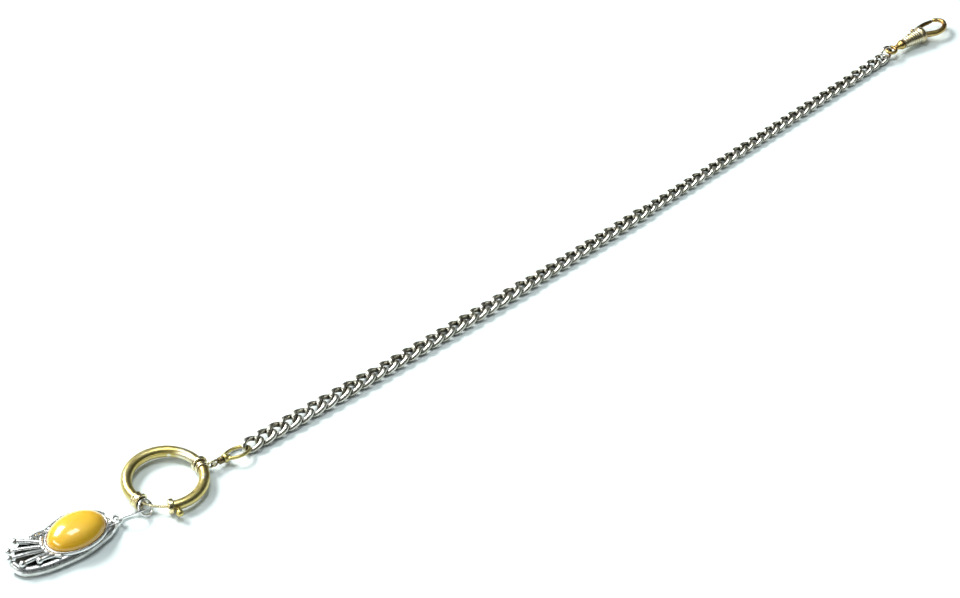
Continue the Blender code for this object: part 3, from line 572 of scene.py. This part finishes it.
# A dark copy of the gilt that paints shade: the swivel barrel is made in it, and a thin skin of it
# darkens the inside of the socket.
SHADED_GILT = metal("shaded_gilt", (0.20, 0.15, 0.07), (0.34, 0.27, 0.14), (0.62, 0.52, 0.30),
                  (0.02, 0.015, 0.008), rough=(0.24, 0.42), patch=330, worn_from=0.66)
SILVER = metal("fob_silver", (0.86, 0.87, 0.86), (0.76, 0.77, 0.76), (0.95, 0.95, 0.95),
               (0.05, 0.05, 0.042), rough=(0.26, 0.38), grime_shade_reach=1.1,
               grime_shade_span=(0.18, 0.60))
HAMMERED = metal("hammered_silver", (0.74, 0.75, 0.72), (0.62, 0.63, 0.60), (0.95, 0.95, 0.95),
                 (0.06, 0.06, 0.05), rough=(0.34, 0.50), patch=700, dents=0.6,
                 grime_shade_reach=1.0, grime_shade_span=(0.18, 0.55))
BRASS = metal("worn_brass", (0.58, 0.42, 0.14), (0.50, 0.30, 0.12), (0.80, 0.74, 0.56),
              (0.045, 0.024, 0.012), dents=0.1, rough=(0.28, 0.42), patch=300, worn_from=0.6,
              grime_shade_reach=1.0, grime_shade_span=(0.22, 0.60))
RIBBED = metal("ribbed_brass", (0.62, 0.57, 0.42), (0.56, 0.46, 0.24), (0.84, 0.80, 0.68),
               (0.09, 0.06, 0.03), dents=0.1, rough=(0.26, 0.40), patch=340, worn_from=0.5,
               grime_shade_reach=0.35, grime_shade_span=(0.30, 0.80))
BRONZE = metal("dark_bronze", (0.22, 0.15, 0.06), (0.32, 0.22, 0.09), (0.60, 0.46, 0.22),
               (0.03, 0.018, 0.010), rough=(0.24, 0.40), patch=360, worn_from=0.68)
PINK_SILVER = metal("coppery_silver", (0.82, 0.79, 0.72), (0.68, 0.50, 0.38), (0.93, 0.92, 0.88),
                    (0.06, 0.035, 0.02), rough=(0.13, 0.27), patch=420, worn_from=0.55)
# A near-black metal that paints the shade between the fan's rods.
SHADE_BLACK = metal("shade_black_silver", (0.028, 0.028, 0.024), (0.050, 0.048, 0.040),
                 (0.16, 0.16, 0.15), (0.008, 0.008, 0.007), rough=(0.40, 0.60), worn_from=0.8)
STEEL = metal("spring_steel", (0.40, 0.40, 0.41), (0.32, 0.31, 0.30), (0.60, 0.60, 0.60),
              (0.04, 0.035, 0.03), rough=(0.24, 0.40))
AMBER = amber("amber_resin")
GEM = gem("clear_stones")


# Bolt ring


def swell(count, ends, middle):
    """Radii for a tube that is thickest at its middle, as shares of the middle's radius."""
    return [
        (ends + (middle - ends) * math.sin(math.pi * i / (count - 1)) ** 0.7) / middle
        for i in range(count)
    ]


def grooved(angle, share):
    """Fine lines along the inner wall of the main tube, which fade out at its ends."""
    inward = abs(math.degrees(angle) % 360 - 180)
    depth = 0.0
    for line in GROOVE_ANGLES:
        depth += math.exp(-((inward - line) / GROOVE_WIDTH) ** 2)
    return 1.0 - GROOVE_DEPTH * depth * math.sin(math.pi * share) ** 0.5


def make_collar(name, profile, easing, angle, node):
    """A turned collar round the bolt ring's tube."""
    shape = lathe(eased(profile, easing, closed=True), 64)
    piece(name, shape, PALE_GILT, "bolt_ring", [node], matrix=along_tube(angle))


def make_bolt_ring():
    points = ring_arc(*MAIN_TUBE_ARC, 110)
    shape = tube(points, MAIN_TUBE_RADII[1], 72, radii=swell(111, *MAIN_TUBE_RADII),
                 section=grooved, caps=0)
    piece("ring_main_tube", bent(shape, 0.02, 0.35), GILT, "bolt_ring", ["ring_tube"],
          matrix=ROOT)

    points = ring_arc(*BOLT_TUBE_ARC, 70)
    radii = swell(71, *BOLT_TUBE_RADII)
    outer = tube(points, BOLT_TUBE_RADII[1], 40, radii=radii, caps=0)
    thing = piece("ring_bolt_tube", outer, GILT, "bolt_ring", ["bolt_tube"],
                  matrix=ROOT)
    core = tube(ring_arc(BOLT_TUBE_ARC[0] - 1, BOLT_TUBE_ARC[1] + 1, 40),
                BOLT_TUBE_RADII[0] - TUBE_WALL, 28, caps=0)
    cut(thing, moved(core, ROOT))
    cut(thing, moved(slot_shape(), ROOT))

    make_collar("ring_socket", [
        (1.75, 1.1), (2.0, 0.95), (2.0, 0.68), (1.72, 0.5), (1.66, -0.35), (1.78, -0.5),
        (1.78, -0.85), (1.5, -1.1), (1.36, -1.1), (1.36, -0.45), (0.40, -0.45), (0.40, -0.1),
        (0.95, -0.1), (1.45, 1.0),
    ], 0.1, SOCKET_ANGLE, "bolt_socket")
    # Painted shade: a thin dark skin over the inside of the socket's funnel.
    shade_lining = lathe(eased([(1.43, 0.98), (0.94, -0.08), (0.42, -0.08), (0.42, -0.4),
                          (0.41, -0.4), (0.41, -0.06), (0.9, -0.04), (1.40, 0.98)], 0.03,
                         closed=True), 48)
    piece("ring_socket_shade_lining", shade_lining, SHADED_GILT, "bolt_ring", matrix=along_tube(SOCKET_ANGLE))

    make_collar("ring_mouth_collar", [
        (1.3, 0.6), (1.62, 0.6), (1.75, 0.42), (1.75, -0.42), (1.62, -0.6), (1.3, -0.6),
    ], 0.12, MOUTH_COLLAR_ANGLE, "mouth_collar")
    make_collar("ring_flange", [
        (1.32, 0.55), (1.7, 0.55), (1.95, 0.36), (1.95, -0.2), (1.8, -0.42), (1.32, -0.42),
    ], 0.14, FLANGE_ANGLE, "flange_collar")

    band = lathe(eased([(1.3, 0.62), (1.46, 0.62), (1.6, 0.46), (1.52, 0.1), (1.6, -0.2),
                        (1.6, -0.46), (1.46, -0.62), (1.3, -0.62)], 0.09, closed=True), 64)
    eye = moved(tube(circle(EYE_RADIUS, 36), EYE_WIRE, 14, closed=True),
                shift(x=LOOP_EYE_REACH) @ turn(180, "X"))
    piece("ring_loop_collar", joined(band, eye), PALE_GILT, "bolt_ring", ["loop_collar"],
          matrix=along_tube(LOOP_COLLAR_ANGLE))

    rod = tube(ring_arc(*BOLT_ARC, 60), BOLT_RADIUS, 20, caps=4)
    piece("ring_bolt_wire", rod, PALE_GILT, "bolt", ["ring_bolt"], matrix=ROOT)

    reach = KNOB_REACH - RING_RADIUS
    stem = lathe(eased([(0, reach - 0.3), (0.42, reach - 0.5), (0.30, reach - 0.75),
                        (0.30, 0.9), (0.36, 0.5), (0.36, 0.38), (0, 0.38)], 0.06), 28)
    knob = bent(moved(ball(KNOB_RADIUS, 36, 22), shift(z=reach)), 0.03, 1.1)
    piece("ring_knob", joined(stem, knob), GILT, "bolt", ["bolt_knob"],
          matrix=on_ring(KNOB_ANGLE) @ turn(90, "Y"))


def slot_shape():
    """A bent bar that cuts the knob's slot through the outer wall of the bolt tube."""
    low, high = SLOT_ARC
    verts, faces = [], []
    steps = 24
    inner, outer = RING_RADIUS + 0.3, RING_RADIUS + 2.2
    for i in range(steps + 1):
        a = math.radians(low + (high - low) * i / steps)
        for r, z in ((inner, -1), (outer, -1), (outer, 1), (inner, 1)):
            verts.append(Vector((r * math.cos(a), r * math.sin(a),
                                 RING_HEIGHT + z * SLOT_HALF_WIDTH)))
    for i in range(steps):
        for j in range(4):
            n = (j + 1) % 4
            faces.append((4 * i + j, 4 * i + n, 4 * i + 4 + n, 4 * i + 4 + j))
    faces += [(3, 2, 1, 0), (4 * steps, 4 * steps + 1, 4 * steps + 2, 4 * steps + 3)]
    return verts, faces


# Swivel


def make_swivel():
    frame_at = (Matrix.Translation(joint_spot("ring_swivel_swing"))
                @ turn(SWIVEL_HEADING, "Z") @ turn(SWIVEL_DIP, "Y"))
    eye = moved(tube(circle(EYE_RADIUS, 36), EYE_WIRE, 14, closed=True),
                shift(x=SWIVEL_EYE_REACH) @ turn(90, "X"))
    barrel = moved(lathe(eased([
        (0, 1.95), (0.35, 1.93), (0.52, 1.8), (0.52, 1.52), (0.3, 1.5), (0.3, 0.0), (0.7, 0.0),
        (0.85, -0.15), (0.85, -0.5), (0.72, -0.62), (0.85, -0.74), (0.85, -1.1), (0.4, -1.4),
        (0, -1.4),
    ], 0.06), 40), shift(x=BARREL_REACH) @ turn(90, "Y"))
    # The whole barrel is in the dark copy of the gilt, which paints it in shade.
    piece("swivel_barrel_fine", joined(eye, barrel), SHADED_GILT, "swivel_barrel",
          ["swivel_barrel"], matrix=frame_at)

    start = frame_at @ shift(x=BOSS_REACH)
    oval = tube(circle(SWIVEL_OVAL[0], 80, SWIVEL_OVAL[1]), SWIVEL_OVAL_WIRE, 20, closed=True)
    oval = moved(oval, shift(x=OVAL_CENTRE) @ turn(SWIVEL_RING_LEAN, "X"))
    boss = moved(lathe(eased([
        (0.38, BOSS_LENGTH), (0.9, 1.28), (1.12, 0.8), (1.12, 0.42), (0.95, 0.0), (0.38, 0.0),
    ], 0.2, 5, closed=True), 48), turn(90, "Y"))
    piece("swivel_ring_fine", joined(oval, boss), GILT, "swivel_ring", ["swivel_ring"],
          matrix=start)


# Chain


def link_shape(size):
    """One curb link: a twisted oval of round wire, with its faces filed a little flat."""
    half_length = size * (LINK_PITCH + LINK_WIRE * (1 - LINK_PRESS)) / 2
    half_width = size * (LINK_WIDTH - LINK_WIRE) / 2
    points = []
    steps = 44
    for i in range(steps):
        angle = 2 * math.pi * (i + 0.5) / steps
        power = 2 / LINK_SQUARENESS
        x = half_length * math.copysign(abs(math.cos(angle)) ** power, math.cos(angle))
        across = half_width * math.copysign(abs(math.sin(angle)) ** power, math.sin(angle))
        twist = math.radians(LINK_HALF_TWIST) * x / half_length
        points.append(Vector((x, across * math.cos(twist), across * math.sin(twist))))
    points = [
        points[i] * 0.5 + (points[i - 1] + points[(i + 1) % steps]) * 0.25 for i in range(steps)
    ]
    verts, faces = tube(points, size * SHOWN_WIRE / 2, 18, closed=True)
    flat = LINK_FLAT * size
    filed = []
    for v in verts:
        over = abs(v.z) - flat
        z = v.z if over < 0 else math.copysign(flat + over * LINK_CROWN, v.z)
        filed.append(Vector((v.x, v.y, z)))
    return filed, faces


def make_chain():
    """All the links; each pair rides on one CAD segment."""
    count = sum(number for _, number in CHAIN_SIZES)
    sizes = [size for size, number in CHAIN_SIZES for _ in range(number)]
    plain = count - len(CHAIN_START_ROLLS) - len(CHAIN_END_ROLLS)
    rolls = CHAIN_START_ROLLS + (0,) * plain + CHAIN_END_ROLLS
    spots = [joint_spot("link_bend_" + format(i + 1, "02d")) for i in range(count)]
    spots.append(joint_spot("end_ring_swing"))
    shapes = {size: link_shape(size) for size in set(sizes)}
    for i, size in enumerate(sizes):
        along = spots[i + 1] - spots[i]
        heading = math.degrees(math.atan2(along.y, along.x))
        lift = shift(z=size * (SHOWN_WIRE - LINK_WIRE) / 2)
        lying = lift @ Matrix.Translation(spots[i]) @ turn(heading, "Z") @ turn(rolls[i], "X")
        number = format(i + 1, "02d")
        for half in (0, 1):
            middle = size * ((LINK_PITCH - JOINT_SLACK) / 2 + LINK_PITCH * half)
            place = lying @ shift(x=middle)
            name = "curb_link_" + number + "ab"[half]
            shape = bent(moved(shapes[size], place), 0.022, 0.55)
            piece(name, shape, NICKEL, "chain_" + number,
                  ["chain_links_" + number] if half == 0 else ())


# Jump rings


def make_jump_rings():
    upper = Matrix.Translation(joint_spot("fob_jump_upper")) @ turn(UPPER_JUMP_HEADING, "Z")
    clear = BOLT_RADIUS + JUMP_WIRE + JUMP_CLEARANCE
    shape = tube(circle(UPPER_JUMP_RADIUS, 64, gap=JUMP_GAP), JUMP_WIRE, 18, caps=1)
    piece("jump_ring_upper", shape, SILVER, "upper_jump", ["upper_jump_ring"],
          matrix=upper @ shift(x=clear - UPPER_JUMP_RADIUS) @ turn(UPPER_JUMP_LEAN, "X"))
    spot = joint_spot("fob_jump_lower")
    away = spot - joint_spot("fob_lift")
    lower = (Matrix.Translation(spot) @ turn(math.degrees(math.atan2(away.y, away.x)), "Z")
             @ turn(LOWER_JUMP_DIP, "Y"))
    wire_path = circle(LOWER_JUMP_OVAL[0], 72, LOWER_JUMP_OVAL[1], gap=JUMP_GAP)
    shape = tube(wire_path, JUMP_WIRE, 18, caps=1)
    piece("jump_ring_lower", shape, SILVER, "lower_jump", ["lower_jump_ring"],
          matrix=lower @ shift(x=-LOWER_JUMP_OVAL[0]) @ turn(LOWER_JUMP_LEAN, "X"))


# Fob


def stone_frame(height):
    return shift(*STONE_CENTRE) @ turn(STONE_TURN, "Z") @ shift(z=height)


def rail_path(height, steps):
    knots = []
    for angle in range(-3, 122, 31):
        along = RAIL_OVAL[0] * math.cos(math.radians(angle))
        across = RAIL_OVAL[1] * math.sin(math.radians(angle))
        knots.append(stone_frame(height) @ Vector((along, across, 0)))
    knots += [Vector((-16.5, 6.75, height)), Vector((-18.7, 6.6, height))]
    return smooth_path(knots, steps)


def make_fob():
    eye_spot = joint_spot("fob_lift")
    fob = Matrix.Translation((eye_spot.x, eye_spot.y, 0)) @ turn(FOB_HEADING, "Z")

    knots = [
        (-0.9, -1.1, 1.3), (-2.9, -1.7, 1.4), (-7.4, -2.6, 1.35), (-11.8, -3.05, 1.3),
        (-18.3, -2.4, 1.3), (-22.3, -1.3, 1.3), (-24.9, 0.3, 1.4), (-25.9, 2.3, 2.2),
    ]
    path = smooth_path(knots, 14)
    radii = spread([0.45, 0.9, 1.0, 1.0, 1.0, 0.98, 0.94, 0.85], len(path))
    bar = tube(path, BAR_RADIUS, 36, radii=radii, caps=5,
               section=lambda angle, share: 1.0 - 0.04 * math.cos(2 * angle))
    bar = bent(bar, 0.035, 0.9, where=lambda v: 1.0 if v.z < 1.5 else 0.25)
    eye = moved(tube(circle(FOB_EYE_RADIUS, 44), FOB_EYE_WIRE, 18, closed=True),
                shift(z=eye_spot.z) @ turn(12, "X"))
    neck = tube(smooth_path([(-0.85, 0.3, 1.3), (-3.0, 1.0, 1.25), (-5.0, 1.5, 1.2)], 8),
                0.55, 20)
    post = tube(smooth_path([(-26.3, 3.0, 3.7), (-26.4, 2.6, 2.6), (-26.3, 2.2, 1.5),
                             (-25.9, 1.8, 0.75)], 8), 0.55, 20,
                radii=spread([0.95, 1.0, 1.1, 1.2], 25), caps=4)
    piece("fob_bar", joined(bar, eye, neck, post), SILVER, "fob", ["fob_frame"],
          matrix=fob)
    flank = tube([p + Vector((0, -0.24, -0.14)) for p in path[16:-14]], FLANK_RADIUS, 30,
                 radii=radii[16:-14], caps=5)
    flank = bent(flank, 0.045, 1.6)
    piece("fob_bar_flank", flank, HAMMERED, "fob", matrix=fob)

    gallery = lathe(eased([(0.86, 2.55), (0.93, 2.45), (0.90, 1.2), (0.94, 0.25), (0.90, 0.02),
                           (0, 0.02)], 0.03), 96)
    stretch = Matrix.Diagonal((*STONE_HALVES, 1.0, 1.0))
    piece("fob_gallery", gallery, HAMMERED, "fob",
          matrix=fob @ stone_frame(0) @ stretch)

    rail = bent(tube(rail_path(RAIL_HEIGHT, 12), RAIL_RADIUS, 28, caps=4), 0.03, 1.0)
    piece("fob_rail", rail, SILVER, "fob", matrix=fob)
    make_pave(fob)

    dome = []
    for i in range(25):
        angle = math.pi / 2 * i / 24
        dome.append((math.sin(angle) ** 0.85 if i else 0.0, STONE_RISE * math.cos(angle)))
    dome += [(0.985, -0.08), (0, -0.1)]
    piece("fob_cabochon", lathe(dome, 96), AMBER, "fob", ["cabochon"],
          matrix=fob @ stone_frame(STONE_BASE) @ stretch)
    inner, outer = 1.0 + 0.05 / STONE_HALVES[1], 1.0 + 0.38 / STONE_HALVES[1]
    bezel = lathe(eased([
        (inner, 3.38), (outer - 0.025, 3.4), (outer, 3.2), (outer - 0.012, 2.9),
        (outer, 2.62), (0.83, 2.62), (0.83, 2.84), (inner, 2.84),
    ], 0.02, closed=True), 112)
    piece("fob_bezel", bezel, SILVER, "fob", ["cabochon_bezel"],
          matrix=fob @ stone_frame(0) @ stretch)
    make_rods(fob)


def make_pave(fob):
    """A row of cut stones, each in a small cup, with grains of metal between them."""
    path = rail_path(RAIL_HEIGHT + RAIL_RADIUS + PAVE_RADIUS + 0.05, 2)
    spacing = PAVE_RADIUS * 1.75
    spots = [path[1]]
    for point in path[2:]:
        while (point - spots[-1]).length > spacing:
            spots.append(spots[-1] + (point - spots[-1]).normalized() * spacing)
    spots = spots[:PAVE_COUNT]
    facets = [(0, 0.33), (0.26, 0.33), (0.44, 0.12), (0.46, 0.04), (0, -0.42)]
    stones, grains = [], []
    for i, spot in enumerate(spots):
        stones.append(moved(lathe(facets, 8), Matrix.Translation(spot) @ turn(17 * i, "Z")))
        cup = lathe(eased([(0.50, 0.12), (0.55, 0.05), (0.50, -0.55), (0, -0.55), (0, -0.45),
                           (0.42, -0.4), (0.46, 0.0)], 0.03), 20)
        grains.append(moved(cup, Matrix.Translation(spot)))
        if i + 1 < len(spots):
            along = spots[i + 1] - spot
            side = Vector((-along.y, along.x, 0)).normalized() * 0.4
            middle = (spot + spots[i + 1]) / 2 + Vector((0, 0, 0.1))
            for sign in (-1, 1):
                grains.append(moved(ball(0.15, 10, 7), Matrix.Translation(middle + side * sign)))
    piece("fob_pave_stones", joined(*stones), GEM, "fob", ["pave_stones"],
          sharp=5, matrix=fob)
    piece("fob_pave_setting", joined(*grains), SILVER, "fob", matrix=fob)


def make_rods(fob):
    """Five rods with ball ends that fan out from a curved root behind the stone, over a near-black
    plate that paints the shade between them.
    """
    root_arc = []
    for angle in range(143, 216, 12):
        along = ROD_ROOT_OVAL[0] * math.cos(math.radians(angle))
        across = ROD_ROOT_OVAL[1] * math.sin(math.radians(angle))
        root_arc.append(stone_frame(ROD_ROOT_HEIGHT) @ Vector((along, across, 0)))
    shapes = [tube(smooth_path(root_arc, 8), ROD_ROOT_RADIUS, 20, caps=4)]
    tips = [
        ((-22.4, 7.1, 3.4), 1), ((-25.2, 5.3, 3.5), 2), ((-26.5, 3.0, 3.95), 3),
        ((-24.8, 0.2, 3.5), 4), ((-21.3, -1.3, 3.5), 5),
    ]
    for tip, root in tips:
        tip = Vector(tip)
        middle = root_arc[root].lerp(tip, 0.5) + Vector((0, 0, 0.15))
        path = smooth_path([root_arc[root], middle, tip], 10)
        radii = spread([1.1, 1.1, 1.05, 0.95], len(path))
        shapes.append(tube(path, ROD_RADIUS, 20, radii=radii, caps=3))
        end = bent(ball(ROD_BALL_RADIUS, 28, 18), 0.02, 2.0)
        shapes.append(moved(end, Matrix.Translation(tip)))
    piece("fob_rods", joined(*shapes), SILVER, "fob", ["fan_rods"], matrix=fob)
    # Painted shade: a near-black plate under the fan fills the gaps between the rods with dark.
    ends = [root_arc[root].lerp(Vector(tip), 0.82) for tip, root in tips]
    shade_plate = plate_under(root_arc[1:6] + ends[::-1], *SHADE_PLATE_HEIGHTS)
    piece("fob_fan_shade_plate", shade_plate, SHADE_BLACK, "fob", matrix=fob)


def plate_under(outline, low, high):
    """A flat plate with the outline's shape in plan, between two heights."""
    count = len(outline)
    verts = [Vector((p.x, p.y, z)) for z in (low, high) for p in outline]
    sides = [(i, (i + 1) % count, count + (i + 1) % count, count + i) for i in range(count)]
    return verts, [tuple(range(count))[::-1], tuple(range(count, 2 * count))] + sides


# End ring and clip


def make_end_ring():
    spot = joint_spot("end_ring_swing")
    height = END_RING_RADIUS * math.cos(math.radians(END_RING_LEAN)) + END_RING_WIRE
    place = (Matrix.Translation((spot.x + END_RING_REACH, spot.y, height))
             @ turn(90 - END_RING_LEAN, "X"))
    shape = tube(circle(END_RING_RADIUS, 64, gap=JUMP_GAP), END_RING_WIRE, 20, caps=1)
    piece("end_ring_fine", shape, PINK_SILVER, "end_ring", ["end_jump_ring"],
          matrix=place)


def make_clip():
    place = Matrix.Translation(joint_spot("clip_eye_swing")) @ turn(CLIP_HEADING, "Z")
    along = place @ turn(90, "Y")
    neck = lathe(eased([
        (0, 5.5), (0.85, 5.35), (0.85, 4.75), (0.45, 4.7), (0.45, 3.8), (1.1, 3.78),
        (1.2, 3.55), (1.2, 3.2), (1.0, 2.8), (0.78, 2.3), (0.66, 1.9), (0.6, 1.35), (0, 1.1),
    ], 0.12), 44)
    eye = moved(tube(circle(CLIP_EYE_RADIUS, 52), CLIP_EYE_WIRE, 20, closed=True), turn(-90, "Y"))
    piece("clip_neck", joined(neck, eye), BRASS, "clip_eye", ["clip_swivel"],
          matrix=along)

    bottom = CLIP_BODY_BOTTOM
    top = bottom + CLIP_RIBBED_LENGTH + CLIP_BULGE_LENGTH
    steps = 96
    ribs = []
    for i in range(steps + 1):
        share = i / steps
        groove = 0.5 - 0.5 * math.cos(2 * math.pi * CLIP_RIBS * share)
        radius = 1.25 + 0.6 * share - CLIP_RIB_DEPTH * groove ** 1.6
        ribs.append((radius, bottom + 0.06 + (CLIP_RIBBED_LENGTH - 0.06) * share))
    cap = [(1.88, top - 1.98), (2.02, top - 1.8), (2.1, top - 1.5), (2.1, top - 1.15),
           (1.98, top - 0.8), (1.7, top - 0.5), (1.3, top - 0.25), (0.8, top - 0.04), (0, top)]
    shape = lathe([(0, bottom), (1.05, bottom)] + ribs + cap, 72)
    body = piece("clip_barrel", shape, RIBBED, "clip", ["clip_body"],
                 matrix=along)
    shoulder = [(1.84, top - 2.0)] + [(r + 0.012, z) for r, z in cap[:-1]] + [(0, top)]
    skin = piece("clip_shoulder", lathe(shoulder, 72), BRASS, "clip",
                 matrix=along)
    slot = box_shape((LEVER_PIVOT[0] - 0.95, -0.02, -0.68), (12, 3, 0.68))
    bore = moved(lathe([(0, 3), (0.53, 3), (0.53, 6), (0, 6)][::-1], 28), turn(90, "Y"))
    cut(body, moved(bore, place))
    cut(body, moved(slot, place))
    cut(skin, moved(slot, place))

    knots = [
        (10.9, -0.7, 0), (12.4, -1.35, 0), (14.0, -1.85, 0), (15.7, -1.7, 0), (17.1, -0.85, 0),
        (17.75, 0.45, 0), (17.35, 1.6, 0), (16.3, 2.35, 0),
    ]
    path = smooth_path(knots, 12)
    radii = [1.08 - 0.38 * i / (len(path) - 1) for i in range(len(path))]
    hook = bent(tube(path, HOOK_RADIUS, 26, radii=radii, caps=5), 0.02, 0.8)
    piece("clip_hook_fine", hook, BRASS, "clip", ["clip_hook"], matrix=place)

    lever_at = place @ shift(*LEVER_PIVOT)
    knots = [(0.1, 0.05, 0), (1.5, 0.55, 0), (3.2, 1.15, 0), (4.9, 1.55, 0), (6.8, 1.75, 0),
             (9.1, 1.6, 0)]
    path = smooth_path(knots, 12)
    radii = spread([1, 1.05, 1.1, 1.05, 0.95, 0.8], len(path))
    lever = bent(tube(path, LEVER_RADIUS, 24, radii=radii, caps=5), 0.02, 0.9)
    eye = lathe(eased([(0.38, 0.55), (0.62, 0.55), (0.68, 0.48), (0.68, -0.48), (0.62, -0.55),
                       (0.38, -0.55)], 0.05, closed=True), 36)
    thumb = moved(ball(0.62, 28, 18), Matrix.Translation((2.9, 1.5, 0)))
    piece("clip_lever_fine", joined(lever, eye, thumb), BRONZE, "clip_lever", ["clip_lever"],
          matrix=lever_at)
    pin = lathe(eased([(0, 1.45), (0.3, 1.45), (0.3, -1.45), (0, -1.45)], 0.1), 24)
    piece("clip_pin", pin, BRASS, "clip", ["lever_pin"], matrix=lever_at)


def box_shape(low, high):
    verts = [Vector((x, y, z)) for x in (low[0], high[0]) for y in (low[1], high[1])
             for z in (low[2], high[2])]
    faces = [(0, 1, 3, 2), (4, 6, 7, 5), (0, 4, 5, 1), (2, 3, 7, 6), (0, 2, 6, 4), (1, 5, 7, 3)]
    return verts, faces


def dress_hidden_nodes():
    """The springs and the plug keep their CAD shapes, in steel."""
    for name in ("bolt_spring", "spring_plug", "lever_spring"):
        node = frame["nodes"][name]
        node.data.materials.clear()
        node.data.materials.append(STEEL)


# Table, lights and camera


def make_table():
    mesh = bpy.data.meshes.new("table")
    corners = [(x * TABLE_REACH, y * TABLE_REACH, 0) for x, y in ((-1, -1), (1, -1), (1, 1), (-1, 1))]
    mesh.from_pydata(corners, [], [(0, 1, 2, 3)])
    table = bpy.data.objects.new("table", mesh)
    bpy.context.scene.collection.objects.link(table)
    n = Nodes("white_table")
    tone = n.mix(n.noise(3.0, 2), (0.77, 0.88, 0.89), (0.81, 0.90, 0.91))
    n.put(n.shader.inputs["Base Color"], tone)
    n.shader.inputs["Roughness"].default_value = 0.6
    n.shader.inputs["Specular IOR Level"].default_value = 0.1
    n.shader.inputs["Emission Color"].default_value = (0.95, 1.0, 1.0, 1.0)
    n.shader.inputs["Emission Strength"].default_value = TABLE_GLOW
    mesh.materials.append(n.material)


def make_light(name, spot, size, size_y, power, colour):
    """A rectangular light that faces the middle of the part."""
    data = bpy.data.lights.new(name, "AREA")
    data.shape = "RECTANGLE"
    data.size = size
    data.size_y = size_y
    data.energy = power
    data.color = colour
    light = bpy.data.objects.new(name, data)
    bpy.context.scene.collection.objects.link(light)
    light.location = spot
    light.rotation_mode = "QUATERNION"
    light.rotation_quaternion = (Vector((0, 0, 0)) - Vector(spot)).to_track_quat("-Z", "Y")


def make_world():
    world = bpy.data.worlds.new("studio")
    bpy.context.scene.world = world
    world.use_nodes = True
    tree = world.node_tree
    coord = tree.nodes.new("ShaderNodeTexCoord")
    split = tree.nodes.new("ShaderNodeSeparateXYZ")
    ramp = tree.nodes.new("ShaderNodeValToRGB")
    tree.links.new(coord.outputs["Generated"], split.inputs[0])
    tree.links.new(split.outputs["Z"], ramp.inputs[0])
    tree.links.new(ramp.outputs[0], tree.nodes["Background"].inputs["Color"])
    ramp.color_ramp.elements[0].position = 0.0
    ramp.color_ramp.elements[0].color = (0.006, 0.006, 0.005, 1)
    ramp.color_ramp.elements[1].position = 0.85
    ramp.color_ramp.elements[1].color = (0.20, 0.24, 0.25, 1)
    middle = ramp.color_ramp.elements.new(0.72)
    middle.color = (0.045, 0.045, 0.040, 1)
    tree.nodes["Background"].inputs["Strength"].default_value = 1.0


def make_camera():
    """Looks down on the table, with the chain running from near left to far right."""
    data = bpy.data.cameras.new("camera")
    data.lens = CAMERA_LENS
    data.sensor_width = 36.0
    data.clip_start = 0.01
    data.clip_end = 20.0
    camera = bpy.data.objects.new("camera", data)
    bpy.context.scene.collection.objects.link(camera)
    target = (ROOT.translation + Vector(CAMERA_AIM)) * MM
    elevation, heading = math.radians(CAMERA_ELEVATION), math.radians(CAMERA_HEADING)
    look = Vector((math.sin(heading) * math.cos(elevation),
                   math.cos(heading) * math.cos(elevation), -math.sin(elevation)))
    camera.location = target - look * CAMERA_DISTANCE
    camera.rotation_mode = "QUATERNION"
    camera.rotation_quaternion = look.to_track_quat("-Z", "Y")
    bpy.context.scene.camera = camera


make_bolt_ring()
make_swivel()
make_chain()
make_jump_rings()
make_fob()
make_end_ring()
make_clip()
dress_hidden_nodes()
make_table()
make_world()
make_light("key", (-0.25, 0.80, 0.80), 0.60, 0.40, 18, (1.0, 0.985, 0.96))
make_light("left_strip", (-0.85, 0.15, 0.45), 0.7, 0.15, 3, (1.0, 0.99, 0.97))
make_light("top", (0.0, 0.10, 0.95), 0.30, 0.30, 3.2, (0.97, 1.0, 1.0))
bpy.context.scene.view_settings.view_transform = "Standard"
make_camera()
